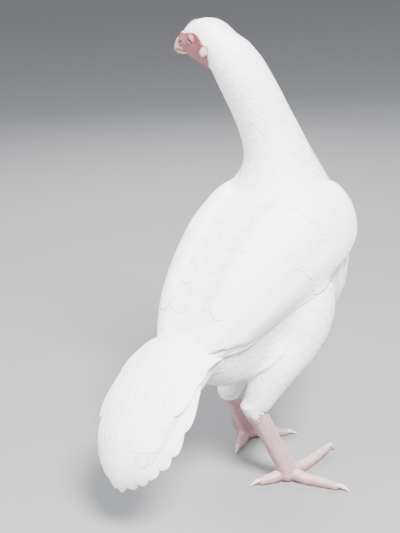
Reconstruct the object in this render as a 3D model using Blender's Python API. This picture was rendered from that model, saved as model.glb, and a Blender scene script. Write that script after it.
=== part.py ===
"""A heera aseel hen, life size, standing with her head turned over her left shoulder.

Metres, +Z up. She faces -Y and her left side is +X. Every place is measured from the
point on the floor midway between the feet, and the empty hen_root carries them all.
"""

import math

import bmesh
import bpy
import numpy as np
from mathutils import Vector
from mathutils.bvhtree import BVHTree

GAP = 0.0003
MERGE = 0.000002

PLUMAGE = ("plumage", (0.90, 0.90, 0.90), 0.75)
FACE_SKIN = ("face_skin", (0.72, 0.36, 0.36), 0.55)
LOBE_SKIN = ("lobe_skin", (0.84, 0.78, 0.76), 0.6)
LEG_SKIN = ("leg_skin", (0.80, 0.64, 0.62), 0.6)
HORN = ("horn", (0.82, 0.76, 0.64), 0.4)
EYE_GLASS = ("eye", (0.10, 0.05, 0.03), 0.1)

# Torso stations from the tail root to the breast: place along the back, centre y and z,
# half width, height of the back over the centre, depth of the belly under it, and how many
# degrees the section leans back from upright.
TORSO_STATIONS = (
    (0.00, 0.164, 0.194, 0.016, 0.012, 0.016, 22),
    (0.08, 0.148, 0.200, 0.038, 0.022, 0.062, 32),
    (0.25, 0.118, 0.228, 0.056, 0.034, 0.103, 38),
    (0.45, 0.070, 0.260, 0.069, 0.054, 0.112, 33),
    (0.65, 0.018, 0.290, 0.076, 0.068, 0.114, 25),
    (0.82, -0.036, 0.306, 0.076, 0.072, 0.124, 14),
    (0.92, -0.084, 0.300, 0.067, 0.072, 0.116, 2),
    (0.97, -0.109, 0.286, 0.049, 0.057, 0.082, -4),
    (1.00, -0.125, 0.272, 0.014, 0.020, 0.026, -8),
)
TORSO_RINGS = 19
TORSO_SIDES = 24
TORSO_POWER = 2.5

# Neck stations from inside the shoulders to inside the head: centre x, y, z, half width
# and half depth.
NECK_STATIONS = (
    (0.00, 0.000, -0.040, 0.325, 0.060, 0.062),
    (0.18, 0.004, -0.036, 0.365, 0.061, 0.061),
    (0.36, 0.004, -0.029, 0.407, 0.040, 0.043),
    (0.55, 0.010, -0.016, 0.448, 0.0325, 0.035),
    (0.75, 0.018, 0.006, 0.495, 0.030, 0.032),
    (0.90, 0.028, 0.022, 0.528, 0.028, 0.029),
    (1.00, 0.040, 0.030, 0.545, 0.022, 0.022),
)
NECK_RINGS = 13
NECK_SIDES = 18

# The head's own frame: origin in the skull, turned from +X towards +Y.
HEAD_CENTRE = (0.067, 0.031, 0.548)
HEAD_TURN = math.radians(8)
# Head stations along the skull, from the nape to the bill: forward place, centre height,
# half width, height of the crown and depth of the throat.
HEAD_STATIONS = (
    (-0.046, -0.010, 0.012, 0.012, 0.012),
    (-0.040, -0.008, 0.020, 0.020, 0.022),
    (-0.027, -0.003, 0.0245, 0.027, 0.031),
    (-0.012, 0.000, 0.0225, 0.0288, 0.0318),
    (0.001, 0.002, 0.0190, 0.0258, 0.0285),
    (0.013, 0.002, 0.0165, 0.0215, 0.0215),
    (0.021, 0.0005, 0.0145, 0.0170, 0.0160),
    (0.028, -0.0010, 0.0112, 0.0122, 0.0112),
    (0.032, -0.0020, 0.0068, 0.0078, 0.0068),
)
HEAD_RINGS = 16
HEAD_SIDES = 20

# On the head, as forward, left and up from its centre.
EYE = (0.005, 0.0148, 0.004)
EYE_RADIUS = 0.0058
LID_OUT = 0.0172
LID_RADII = (0.0062, 0.0050)
LID_THICK = 0.0013
LID_SIDES = 12
LID_TUBE_SIDES = 5
NOSTRIL = (0.0262, 0.0118, 0.0004)
NOSTRIL_RADIUS = 0.0013
NOSTRIL_SHAPE = (1.6, 1.0, 0.8)
LOBE = (-0.0170, 0.0232, -0.0093)
LOBE_RADIUS = 0.006
LOBE_SHAPE = (1.0, 0.6, 1.05)
COMB_BASE = (0.0120, 0.0, 0.0232)
COMB_BUMP = 0.0026
COMB_SPOTS = (
    (0.0080, 0.0, 0.0258),
    (0.0118, 0.0, 0.0246),
    (0.0156, 0.0, 0.0224),
    (0.0100, 0.0032, 0.0244),
    (0.0100, -0.0032, 0.0244),
    (0.0138, 0.0030, 0.0226),
    (0.0138, -0.0030, 0.0226),
)

# Left wing stations from the bend to the tip: its upper edge, middle and lower edge on the
# body, and the thickness there.
WING_STATIONS = (
    (0.00, 0.056, -0.092, 0.362, 0.067, -0.102, 0.334, 0.064, -0.100, 0.308, 0.007),
    (0.10, 0.050, -0.066, 0.386, 0.083, -0.086, 0.340, 0.078, -0.080, 0.296, 0.011),
    (0.25, 0.040, -0.020, 0.388, 0.090, -0.040, 0.330, 0.086, -0.040, 0.276, 0.013),
    (0.45, 0.030, 0.048, 0.352, 0.086, 0.015, 0.310, 0.088, 0.010, 0.256, 0.013),
    (0.65, 0.026, 0.096, 0.312, 0.068, 0.070, 0.280, 0.082, 0.060, 0.242, 0.010),
    (0.82, 0.024, 0.130, 0.262, 0.054, 0.112, 0.246, 0.066, 0.104, 0.222, 0.007),
    (0.93, 0.026, 0.148, 0.230, 0.042, 0.136, 0.222, 0.050, 0.130, 0.210, 0.005),
    (1.00, 0.028, 0.162, 0.210, 0.033, 0.158, 0.206, 0.037, 0.154, 0.203, 0.004),
)
WING_LENGTHWISE = 12
WING_ACROSS = 7
# Free space between a wing and the torso under it, thickness of its edge, and how far round
# a place the body's normal is taken.
WING_LIFT = 0.0012
WING_EDGE = 0.0010
# How far the form that clears a wing's neighbours reaches past its edges and stands over it.
WING_REACH = 1.22
WING_CLEARANCE = 0.0060
CLEARANCE_ACROSS = 13
NORMAL_REACH = 0.014

# Feather vanes: points along one, thickness at the root, depth that the root is sunk, how far
# one lies over its core, and how much its upper edge stands over its lower edge.
VANE_ROWS = 5
VANE_THICK = 0.0012
VANE_SINK = 0.0016
VANE_CLEAR = 0.0020
VANE_TILT = 0.0010

# Tiers on the left wing, lowest first: how many, t of the roots and of the tips for the first
# and the last, v of root and tip for the first and for the last, half width, height, and how
# much deeper a vane is where the wing's body is under it.
WING_TIERS = (
    (2, (0.34, 0.44), (0.90, 0.985), (-1.02, -1.05), (-0.90, -0.80), 0.0085, -0.0010, 0.0),
    (6, (0.34, 0.42), (0.86, 0.97), (-0.84, -0.84), (0.64, 0.28), 0.0130, 0.0000, 0.0014),
    (5, (0.18, 0.26), (0.46, 0.58), (-0.78, -0.84), (0.66, 0.70), 0.0150, 0.0010, 0.0014),
)

# Tail stations from the root to the tips: centre y and z, half width, thickness above and
# below, and how far the edges hang under the ridge. The tips stand TAIL_ASIDE off the middle.
TAIL_STATIONS = (
    (0.00, 0.122, 0.216, 0.034, 0.012, 0.030, 0.004),
    (0.15, 0.170, 0.206, 0.054, 0.018, 0.046, 0.010),
    (0.35, 0.216, 0.178, 0.064, 0.014, 0.038, 0.015),
    (0.55, 0.246, 0.143, 0.073, 0.010, 0.022, 0.023),
    (0.75, 0.262, 0.107, 0.067, 0.006, 0.009, 0.023),
    (0.90, 0.263, 0.080, 0.045, 0.004, 0.004, 0.013),
    (1.00, 0.258, 0.062, 0.010, 0.002, 0.002, 0.001),
)
TAIL_ASIDE = 0.011
TAIL_RINGS = 10
TAIL_SIDES = 14
TAIL_CORE_END = 0.78
TAIL_ROUND = 0.8
TAIL_SKIN = 0.0012

# Pairs of tail feathers from the middle outwards, then of coverts: t of root and tip, distance
# of root and tip from the ridge, and half width. Each pair lies a step under the one before.
TAIL_FEATHERS = (
    (0.20, 1.00, 0.004, 0.007, 0.0130),
    (0.20, 0.98, 0.010, 0.022, 0.0130),
    (0.20, 0.93, 0.016, 0.036, 0.0130),
    (0.20, 0.85, 0.023, 0.047, 0.0130),
    (0.18, 0.75, 0.029, 0.058, 0.0125),
    (0.16, 0.63, 0.035, 0.064, 0.0120),
    (0.12, 0.48, 0.040, 0.064, 0.0115),
)
TAIL_FEATHER_STEP = 0.0016
TAIL_SIDE_STEP = 0.0010
TAIL_VANE_THICK = 0.0008

# Legs, for each side: +1 is left.
FOOT_JOINTS = {1: (0.0567, -0.0209, 0.0165), -1: (-0.0567, 0.0311, 0.0165)}
HOCKS = {1: (0.0365, 0.032, 0.098), -1: (-0.035, 0.065, 0.1075)}
# Thigh stations from the hock to the hip: offset from the hock for the right leg, and radius.
THIGH_STATIONS = (
    (0.0000, 0.0000, -0.0010, 0.0158),
    (-0.0055, -0.0120, 0.0285, 0.0248),
    (-0.0135, -0.0275, 0.0565, 0.0305),
    (-0.0200, -0.0475, 0.0745, 0.0320),
    (-0.0230, -0.0620, 0.1015, 0.0380),
    (-0.0210, -0.0700, 0.1280, 0.0400),
    (-0.0180, -0.0760, 0.1520, 0.0380),
)
# each half of the beak: start ahead of the head's middle, length, rows, line (height, fall, power),
# powers of the taper, half width, heights above (share of the taper, rest) and below the line,
# least share at the tip, and rest of the half width
BEAK_UPPER = (
    0.018, 0.0235, 9, (-0.0040, 0.0095, 2.2), (2.2, 0.55), 0.0098, (0.0124, 0.0006), 0.0040, 0.05, 0.0006,
)
BEAK_LOWER = (
    0.014, 0.0235, 7, (-0.0118, 0.0025, 1), (2, 0.5), 0.0085, (0, 0.0022), 0.0040, 0.1, 0.0005,
)
SHANK_RADII = (0.0134, 0.0122, 0.0118, 0.0136)
# How far the middle of a shank lies behind the line from the hock to the foot's joint.
SHANK_BACK = (0.0012, 0.0012, 0.0)
# Scutes: plates on a shank and on a toe, how far a lower edge stands up, and half the length
# of the step there as a share of the limb.
SHANK_SCUTES = 8
TOE_SCUTES = 5
SCUTE_HEIGHT = 0.0008
SCUTE_STEP = 0.012

# Each toe: its turn from straight ahead for the left and the right foot, the length of
# its flesh from the joint, the length of its claw, its radius at the root and at the end,
# and the height of the end's middle.
TOES = {
    "inner": ({1: -44, -1: 51}, {1: 0.0567, -1: 0.0530}, 0.013, 0.0072, 0.0055, {1: 0.0040, -1: 0.0040}),
    "middle": ({1: 22, -1: -0.5}, {1: 0.0740, -1: 0.0860}, 0.015, 0.0078, 0.0055, {1: 0.0040, -1: 0.0095}),
    "outer": ({1: 58, -1: -73}, {1: 0.0600, -1: 0.0690}, 0.014, 0.0075, 0.0056, {1: 0.0041, -1: 0.0041}),
    "hind": ({1: -157.5, -1: 152}, {1: 0.0370, -1: 0.0390}, 0.012, 0.0070, 0.0056, {1: 0.0041, -1: 0.0041}),
}


def clear_scene():
    for obj in list(bpy.data.objects):
        bpy.data.objects.remove(obj, do_unlink=True)


def material(spec):
    name, colour, roughness = spec
    made = bpy.data.materials.get(name) or bpy.data.materials.new(name)
    made.use_nodes = True
    shader = made.node_tree.nodes["Principled BSDF"]
    shader.inputs["Base Color"].default_value = (*colour, 1.0)
    shader.inputs["Roughness"].default_value = roughness
    return made


def smooth_table(table, t):
    """The table's columns at t, on a curve through its rows."""
    rows = np.array(table, float)
    knots = rows[:, 0]
    slopes = np.gradient(rows[:, 1:], knots, axis=0)
    t = min(max(t, knots[0]), knots[-1])
    i = min(max(int(np.searchsorted(knots, t) - 1), 0), len(knots) - 2)
    span = knots[i + 1] - knots[i]
    s = (t - knots[i]) / span
    a, b = rows[i, 1:], rows[i + 1, 1:]
    return (
        a * (2 * s**3 - 3 * s**2 + 1)
        + slopes[i] * span * (s**3 - 2 * s**2 + s)
        + b * (-2 * s**3 + 3 * s**2)
        + slopes[i + 1] * span * (s**3 - s**2)
    )


def eased(k, count):
    """Place of ring k of count, with the rings closer together at both ends."""
    return 0.5 - 0.5 * math.cos(math.pi * k / (count - 1))


def new_object(name, bm, spec, home):
    mesh = bpy.data.meshes.new(name)
    bmesh.ops.recalc_face_normals(bm, faces=bm.faces)
    bmesh.ops.triangulate(bm, faces=bm.faces)
    bm.to_mesh(mesh)
    bm.free()
    mesh.materials.append(material(spec))
    mesh.shade_smooth()
    obj = bpy.data.objects.new(name, mesh)
    home.objects.link(obj)
    return obj


def loft(name, rings, spec, home):
    """One closed body through rings of equal count, each end closed to its middle."""
    bm = bmesh.new()
    made = [[bm.verts.new(p) for p in ring] for ring in rings]
    for low, high in zip(made, made[1:]):
        for i, vert in enumerate(low):
            j = (i + 1) % len(low)
            bm.faces.new((vert, low[j], high[j], high[i]))
    for ring in (made[0], made[-1]):
        middle = bm.verts.new(sum((v.co for v in ring), Vector()) / len(ring))
        for i, vert in enumerate(ring):
            bm.faces.new((vert, ring[(i + 1) % len(ring)], middle))
    return new_object(name, bm, spec, home)


def sheet(name, outer, inner, spec, home):
    """One closed body between two grids of points that share their shape."""
    bm = bmesh.new()
    top = [[bm.verts.new(p) for p in row] for row in outer]
    low = [[bm.verts.new(p) for p in row] for row in inner]
    rows, columns = len(top), len(top[0])
    for i in range(rows - 1):
        for j in range(columns - 1):
            for corners in (((i, j), (i, j + 1), (i + 1, j + 1)), ((i, j), (i + 1, j + 1), (i + 1, j))):
                bm.faces.new([top[a][b] for a, b in corners])
                bm.faces.new([low[a][b] for a, b in reversed(corners)])
    rim = [(0, j) for j in range(columns)] + [(i, columns - 1) for i in range(1, rows)]
    rim += [(rows - 1, j) for j in range(columns - 2, -1, -1)] + [(i, 0) for i in range(rows - 2, 0, -1)]
    for (a, b), (c, d) in zip(rim, rim[1:] + rim[:1]):
        bm.faces.new((top[a][b], top[c][d], low[c][d], low[a][b]))
    return new_object(name, bm, spec, home)


def oval_ring(centre, side, up, half_width, rise, drop, count, power=2.2, turn=0.0):
    """A ring round centre, rise above it along up and drop below it, turned by a share of a step."""
    ring = []
    for i in range(count):
        angle = 2 * math.pi * (i + turn) / count
        c, s = math.cos(angle), math.sin(angle)
        across = math.copysign(abs(c) ** (2 / power), c) * half_width
        along = math.copysign(abs(s) ** (2 / power), s) * (rise if s > 0 else drop)
        ring.append(centre + side * across + up * along)
    return ring


def keep_largest(obj):
    """Leave only the largest closed surface of the object."""
    bm = bmesh.new()
    bm.from_mesh(obj.data)
    bm.verts.ensure_lookup_table()
    left = set(bm.verts)
    groups = []
    while left:
        stack = [left.pop()]
        group = set(stack)
        while stack:
            for edge in stack.pop().link_edges:
                for vert in edge.verts:
                    if vert in left:
                        left.discard(vert)
                        group.add(vert)
                        stack.append(vert)
        groups.append(group)
    groups.sort(key=len, reverse=True)
    for group in groups[1:]:
        bmesh.ops.delete(bm, geom=list(group), context="VERTS")
    bm.to_mesh(obj.data)
    bm.free()


def tidy(obj):
    """Merge the points that a Boolean leaves on top of each other."""
    bm = bmesh.new()
    bm.from_mesh(obj.data)
    bmesh.ops.remove_doubles(bm, verts=bm.verts, dist=MERGE)
    bmesh.ops.dissolve_degenerate(bm, edges=bm.edges, dist=MERGE)
    bmesh.ops.triangulate(bm, faces=bm.faces)
    bm.to_mesh(obj.data)
    bm.free()


def grown(obj, by):
    """A copy of the object, larger by this much on every side."""
    copy = obj.copy()
    copy.data = obj.data.copy()
    bpy.context.scene.collection.objects.link(copy)
    bm = bmesh.new()
    bm.from_mesh(copy.data)
    bm.normal_update()
    moved = [v.co + v.normal * by for v in bm.verts]
    for vert, place in zip(bm.verts, moved):
        vert.co = place
    bm.to_mesh(copy.data)
    bm.free()
    return copy


def is_closed(mesh):
    """Whether every edge of a mesh that has faces is shared by exactly two of them."""
    bm = bmesh.new()
    bm.from_mesh(mesh)
    closed = len(bm.faces) > 0 and all(edge.is_manifold for edge in bm.edges)
    bm.free()
    return closed


def boolean(obj, others, operation):
    """Apply one Boolean with a collection of other objects, which are removed after it."""
    tools = bpy.data.collections.new("tools")
    for other in others:
        tools.objects.link(other)
    start = obj.data
    for solver in ("EXACT", "MANIFOLD"):
        obj.data = start
        modifier = obj.modifiers.new("boolean", "BOOLEAN")
        modifier.operation = operation
        modifier.solver = solver
        modifier.operand_type = "COLLECTION"
        modifier.collection = tools
        graph = bpy.context.evaluated_depsgraph_get()
        obj.data = bpy.data.meshes.new_from_object(obj.evaluated_get(graph))
        obj.modifiers.clear()
        tidy(obj)
        keep_largest(obj)
        if is_closed(obj.data):
            break
    for other in others:
        bpy.data.objects.remove(other, do_unlink=True)
    bpy.data.collections.remove(tools)


def cut_clear(obj, others, by=GAP):
    """Take the others, grown by the gap, out of the object."""
    for other in others:
        boolean(obj, [grown(other, by)], "DIFFERENCE")


def torso_frame(t):
    y, z, half_width, rise, drop, lean = smooth_table(TORSO_STATIONS, t)
    lean = math.radians(lean)
    return Vector((0, y, z)), Vector((0, math.sin(lean), math.cos(lean))), half_width, rise, drop


def torso(home):
    rings = []
    for k in range(TORSO_RINGS):
        centre, up, half_width, rise, drop = torso_frame(eased(k, TORSO_RINGS))
        rings.append(
            oval_ring(centre, Vector((1, 0, 0)), up, half_width, rise, drop, TORSO_SIDES, TORSO_POWER)
        )
    return loft("torso", rings, PLUMAGE, home)


def neck(home):
    rings = []
    for k in range(NECK_RINGS):
        t = k / (NECK_RINGS - 1)
        x, y, z, half_width, half_depth = smooth_table(NECK_STATIONS, t)
        before = Vector(smooth_table(NECK_STATIONS, t - 0.02)[:3])
        after = Vector(smooth_table(NECK_STATIONS, t + 0.02)[:3])
        along = (after - before).normalized()
        side = Vector((1, 0, 0)) - along * along.x
        side.normalize()
        back = along.cross(side)
        rings.append(
            oval_ring(Vector((x, y, z)), side, back, half_width, half_depth, half_depth, NECK_SIDES)
        )
    return loft("neck", rings, PLUMAGE, home)


def head_axes():
    forward = Vector((math.cos(HEAD_TURN), math.sin(HEAD_TURN), 0))
    left = Vector((-math.sin(HEAD_TURN), math.cos(HEAD_TURN), 0))
    return forward, left, Vector((0, 0, 1))


def head_point(forward, left, up):
    f, l, u = head_axes()
    return Vector(HEAD_CENTRE) + f * forward + l * left + u * up


def head(home):
    forward, left, up = head_axes()
    first, last = HEAD_STATIONS[0][0], HEAD_STATIONS[-1][0]
    rings = []
    for k in range(HEAD_RINGS):
        place = first + (last - first) * eased(k, HEAD_RINGS)
        height, half_width, rise, drop = smooth_table(HEAD_STATIONS, place)
        rings.append(
            oval_ring(head_point(place, 0, height), left, up, half_width, rise, drop, HEAD_SIDES)
        )
    skull = loft("head", rings, PLUMAGE, home)
    boolean(skull, [lid(side, home) for side in (1, -1)], "UNION")
    pits = [
        ball("pit", head_point(*(NOSTRIL[0], side * NOSTRIL[1], NOSTRIL[2])), NOSTRIL_RADIUS, FACE_SKIN, home,
             NOSTRIL_SHAPE, (8, 6))
        for side in (1, -1)
    ]
    boolean(skull, pits, "DIFFERENCE")
    return skull


def lid(side, home):
    """The fold of skin round an eye, wider than high."""
    forward, left, up = head_axes()
    centre = head_point(EYE[0], side * LID_OUT, EYE[2])
    bm = bmesh.new()
    rings = []
    for i in range(LID_SIDES):
        angle = 2 * math.pi * i / LID_SIDES
        outward = (forward * math.cos(angle) * LID_RADII[0] + up * math.sin(angle) * LID_RADII[1])
        middle = centre + outward
        away = outward.normalized()
        ring = []
        for j in range(LID_TUBE_SIDES):
            turn = 2 * math.pi * j / LID_TUBE_SIDES
            ring.append(bm.verts.new(middle + (away * math.cos(turn) + left * math.sin(turn)) * LID_THICK))
        rings.append(ring)
    for low, high in zip(rings, rings[1:] + rings[:1]):
        for j in range(LID_TUBE_SIDES):
            k = (j + 1) % LID_TUBE_SIDES
            bm.faces.new((low[j], low[k], high[k], high[j]))
    return new_object("lid", bm, FACE_SKIN, home)


def comb(home):
    """A low pea comb: small bumps in three short rows."""
    bumps = [ball("bump", head_point(*spot), COMB_BUMP, FACE_SKIN, home, (1.1, 0.8, 1), (7, 4)) for spot in COMB_SPOTS]
    crest = ball("comb", head_point(*COMB_BASE), COMB_BUMP, FACE_SKIN, home, (2.0, 1.0, 0.8), (8, 5))
    boolean(crest, bumps, "UNION")
    return crest


def beak(home):
    """The two halves: blunt cones of oval rings, whose size falls off towards the tip by a power."""
    _, left, up = head_axes()

    def half(name, shape):
        start, length, rows, drop, power, width, height, below, least, extra = shape
        rings = []
        for k in range(rows):
            s = k / (rows - 1)
            size = (1 - s**power[0]) ** power[1] if s < 1 else least
            rings.append(
                oval_ring(
                    head_point(start + length * s, 0, drop[0] - drop[1] * s**drop[2]), left, up,
                    width * size + extra, height[0] * size + height[1], below * size + extra, 10,
                )
            )
        return loft(name, rings, HORN, home)

    return half("beak_upper", BEAK_UPPER), half("beak_lower", BEAK_LOWER)


def ball(name, centre, radius, spec, home, squash=(1, 1, 1), detail=(14, 9)):
    bm = bmesh.new()
    bmesh.ops.create_uvsphere(bm, u_segments=detail[0], v_segments=detail[1], radius=radius)
    for vert in bm.verts:
        vert.co = Vector(vert.co[i] * squash[i] for i in range(3)) + Vector(centre)
    return new_object(name, bm, spec, home)


def wing_base(t, v):
    """A place on the left wing's lay: t from bend to tip, v from -1 at its lower edge to 1."""
    row = smooth_table(WING_STATIONS, t)
    upper, middle, lower = Vector(row[0:3]), Vector(row[3:6]), Vector(row[6:9])
    return middle + (upper - lower) * (0.5 * v) + (upper + lower - 2 * middle) * (0.5 * v * v), row[9]


def wing_face(surface, t, v):
    """The body's place and normal under the left wing at (t, v), and the wing's height there."""
    place, thick = wing_base(t, v)
    near = surface.find_nearest(place)[0]
    normal = Vector()
    for axis in range(3):
        for step in (-NORMAL_REACH, NORMAL_REACH):
            beside = place.copy()
            beside[axis] += step
            normal += surface.find_nearest(beside)[1]
    normal.normalize()
    free = min(max((t - 0.75) / 0.2, 0), 1)
    foot = near + normal * max((place - near).dot(normal) * free, 0)
    edge = math.sqrt(max(1 - v**4, 0)) * min(1, 0.25 + 6 * t, 0.35 + 4 * (1 - t))
    return foot, normal, thick * edge


def vane(spot, half_width, thick, spec, home, deeper=0.0, rows=VANE_ROWS, columns=3):
    """One feather: a thin closed sheet over spot(s, c), which gives a place and its normal for
    s from root to tip and c, in metres, across. The root is sunk and the tip is round."""
    outer, inner = [], []
    for i in range(rows):
        s = i / (rows - 1)
        width = half_width * min(1, 0.45 + 1.6 * s) * math.sqrt(max(1 - max(s - 0.55, 0) ** 2 / 0.21, 0.02))
        sunk = VANE_SINK * max(1 - s / 0.3, 0)
        depth = thick * (1 - 0.45 * s) + deeper * min(1, (1 - s) / 0.25)
        high, low = [], []
        for j in range(columns):
            place, normal = spot(s, width * (2 * j / (columns - 1) - 1))
            crown = 0.0004 if 0 < j < columns - 1 else 0.0
            high.append(place + normal * (crown - sunk))
            low.append(place - normal * (depth + sunk))
        outer.append(high)
        inner.append(low)
    return sheet("vane", outer, inner, spec, home)


def mirrored(spot, side):
    """The same run of places on the bird's other side where side is -1."""

    def turned(s, c):
        place, normal = spot(s, c)
        return Vector((place.x * side, place.y, place.z)), Vector((normal.x * side, normal.y, normal.z))

    return turned


def wing_vanes(side, surface, home):
    """The wing's flight feathers and greater coverts, tier over tier from its lower edge up."""
    vanes = []
    for count, start, end, low, high, half_width, height, deeper in WING_TIERS:
        for k in range(count):
            share = k / (count - 1)
            v_root = low[0] + (high[0] - low[0]) * share
            v_tip = low[1] + (high[1] - low[1]) * share
            t_tip = end[0] + (end[1] - end[0]) * share
            t_root = start[0] + (start[1] - start[0]) * share

            def spot(s, c, v_root=v_root, v_tip=v_tip, t_root=t_root, t_tip=t_tip, share=share, height=height):
                t = t_root + (t_tip - t_root) * s
                upper, lower = wing_base(t, 1)[0], wing_base(t, -1)[0]
                v = v_root + (v_tip - v_root) * s + c * 2 / (upper - lower).length
                foot, normal, thick = wing_face(surface, t, v)
                slope = -c / half_width * VANE_TILT
                return foot + normal * (WING_LIFT + VANE_CLEAR + thick + height + slope), normal

            vanes.append(vane(mirrored(spot, side), half_width, VANE_THICK, PLUMAGE, home, deeper))
    return vanes


def wing_core(name, side, surface, home, reach=1.0, low=WING_LIFT, high=WING_LIFT + WING_EDGE,
              columns=WING_ACROSS):
    """The folded wing without its long feathers, reach times as deep from edge to edge."""
    outer, inner = [], []
    for i in range(WING_LENGTHWISE):
        t = i / (WING_LENGTHWISE - 1)
        outer_row, inner_row = [], []
        for j in range(columns):
            v = -math.cos(math.pi * j / (columns - 1)) * reach
            foot, normal, thick = wing_face(surface, t, v)
            lifted = foot + normal * (high + thick)
            under = foot + normal * low
            outer_row.append(Vector((lifted.x * side, lifted.y, lifted.z)))
            inner_row.append(Vector((under.x * side, under.y, under.z)))
        outer.append(outer_row)
        inner.append(inner_row)
    return sheet(name, outer, inner, PLUMAGE, home)


def wing(side, body, home):
    """The folded wing, and a plain form round it that clears its neighbours."""
    surface = BVHTree.FromObject(body, bpy.context.evaluated_depsgraph_get())
    core = wing_core("wing_left" if side > 0 else "wing_right", side, surface, home)
    boolean(core, wing_vanes(side, surface, home), "UNION")
    clearance = wing_core(
        "clearance", side, surface, home, WING_REACH, -GAP, WING_CLEARANCE, CLEARANCE_ACROSS
    )
    return core, clearance


def tail_spot(t, x):
    """A place on the tail's upper face, x metres to the left of its ridge, and its normal."""
    y, z, half_width, rise, _, sag = smooth_table(TAIL_STATIONS, t)
    before = smooth_table(TAIL_STATIONS, t - 0.03)
    after = smooth_table(TAIL_STATIONS, t + 0.03)
    side = Vector((1, 0, 0))
    up = side.cross(Vector((0, after[0] - before[0], after[1] - before[1]))).normalized()
    up = up if up.y > 0 else -up
    fall = (TAIL_ROUND * rise + sag) / half_width**2
    place = Vector((TAIL_ASIDE * t * t + x, y, z)) + up * (rise - fall * x * x)
    return place, (up + side * (2 * fall * x)).normalized()


def tail_vanes(home):
    """The tail feathers in pairs, the middle ones longest and on top, and the coverts over them."""
    vanes = []
    for rank, (t_root, t_tip, x_root, x_tip, half_width) in enumerate(TAIL_FEATHERS):
        for side in (1, -1):
            drop = TAIL_FEATHER_STEP * rank + (TAIL_SIDE_STEP if side > 0 else 0.0)

            def spot(s, c, side=side, t_root=t_root, t_tip=t_tip, x_root=x_root, x_tip=x_tip, drop=drop):
                place, normal = tail_spot(t_root + (t_tip - t_root) * s, side * (x_root + (x_tip - x_root) * s) + c)
                return place - normal * drop, normal

            vanes.append(vane(spot, half_width, TAIL_VANE_THICK, PLUMAGE, home))
    return vanes


def tail(home):
    side = Vector((1, 0, 0))
    rings = []
    for k in range(TAIL_RINGS):
        t = TAIL_CORE_END * k / (TAIL_RINGS - 1)
        y, z, half_width, rise, drop, sag = smooth_table(TAIL_STATIONS, t)
        before = smooth_table(TAIL_STATIONS, t - 0.02)
        after = smooth_table(TAIL_STATIONS, t + 0.02)
        along = Vector((0, after[0] - before[0], after[1] - before[1])).normalized()
        up = side.cross(along)
        up = up if up.y > 0 else -up
        slim = 1 - 0.45 * t
        ring = oval_ring(
            Vector((TAIL_ASIDE * t * t, y, z)), side, up, half_width * slim, rise - TAIL_SKIN, drop * slim,
            TAIL_SIDES,
        )
        rings.append([p - up * (sag * ((p.x - TAIL_ASIDE * t * t) / half_width) ** 2) for p in ring])
    core = loft("tail", rings, PLUMAGE, home)
    boolean(core, tail_vanes(home), "UNION")
    return core


def limb(name, spots, radii, spec, home, count=14, steps=4, guide=(1, 0, 0), floor=None, scutes=0, top=None):
    """A limb through a few spots with a radius at each, flat where it meets the floor.

    With scutes, its side that faces top carries that many plates, each raised at its lower edge.
    """
    spots = [Vector(s) for s in spots]
    lengths = [0.0]
    for a, b in zip(spots, spots[1:]):
        lengths.append(lengths[-1] + (b - a).length)
    table = [(l / lengths[-1], *s, r) for l, s, r in zip(lengths, spots, radii)]
    total = steps * (len(spots) - 1) + 1
    places = [(k / (total - 1), 0.0) for k in range(total)]
    if scutes:
        places = [(0.0, 0.0)]
        for k in range(1, scutes):
            places += [(k / scutes - SCUTE_STEP, 1.0), (k / scutes + SCUTE_STEP, 0.0)]
        places.append((1.0, 0.0))
    rings = []
    for t, raised in places:
        x, y, z, radius = smooth_table(table, t)
        before = Vector(smooth_table(table, t - 0.03)[:3])
        after = Vector(smooth_table(table, t + 0.03)[:3])
        along = (after - before).normalized()
        across = (Vector(guide) - along * along.dot(Vector(guide))).normalized()
        ring = oval_ring(
            Vector((x, y, z)), across, across.cross(along).normalized(), radius, radius, radius, count, 2,
            0.0 if floor is None else 0.5,
        )
        if raised:
            for point in ring:
                out = (point - Vector((x, y, z))).normalized()
                point += out * (SCUTE_HEIGHT * raised * max(out.dot(top), 0) ** 0.5)
        if floor is not None:
            for point in ring:
                point.z = max(point.z, floor)
        rings.append(ring)
    return loft(name, rings, spec, home)


def foot(side, home):
    """The foot's pad with its four toes, and the four claws."""
    end = "left" if side > 0 else "right"
    joint = Vector(FOOT_JOINTS[side])
    pad = ball("foot_" + end, joint + Vector((0, 0, -0.0066)), 0.0125, LEG_SKIN, home, (1, 1, 0.92), (12, 8))
    for vert in pad.data.vertices:
        vert.co.z = max(vert.co.z, 0.0)
    toes, claws = [], []
    for toe, (turns, lengths, claw, root, tip, heights) in TOES.items():
        turn = math.radians(turns[side])
        ahead = Vector((math.sin(turn), -math.cos(turn), 0))
        across = Vector((math.cos(turn), math.sin(turn), 0))
        floor_joint = Vector((joint.x, joint.y, 0))
        length = lengths[side]
        spots = (
            floor_joint + Vector((0, 0, joint.z - 0.003)),
            floor_joint + ahead * 0.020 + Vector((0, 0, root - 0.0012)),
            floor_joint + ahead * (0.5 * length + 0.010) + Vector((0, 0, 0.5 * (root + tip) - 0.0010)),
            floor_joint + ahead * length + Vector((0, 0, heights[side])),
        )
        radii = (root + 0.0010, root, 0.5 * (root + tip), tip * 0.80)
        toes.append(
            limb(
                "toe", spots, radii, LEG_SKIN, home, 8, 3, across, 0.0, TOE_SCUTES, Vector((0, 0, 1))
            )
        )
        start = spots[-1] - ahead * 0.003 + Vector((0, 0, 0.001))
        curve = (
            start,
            start + ahead * (claw * 0.55) + Vector((0, 0, 0.0006)),
            Vector((start.x, start.y, 0.0012)) + ahead * (claw + 0.003),
        )
        claws.append(
            limb(f"claw_{toe}_{end}", curve, (0.0030, 0.0023, 0.0007), HORN, home, 6, 2, across, 0.0002)
        )
    boolean(pad, toes, "UNION")
    for part in claws:
        cut_clear(part, [pad])
    return pad


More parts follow.
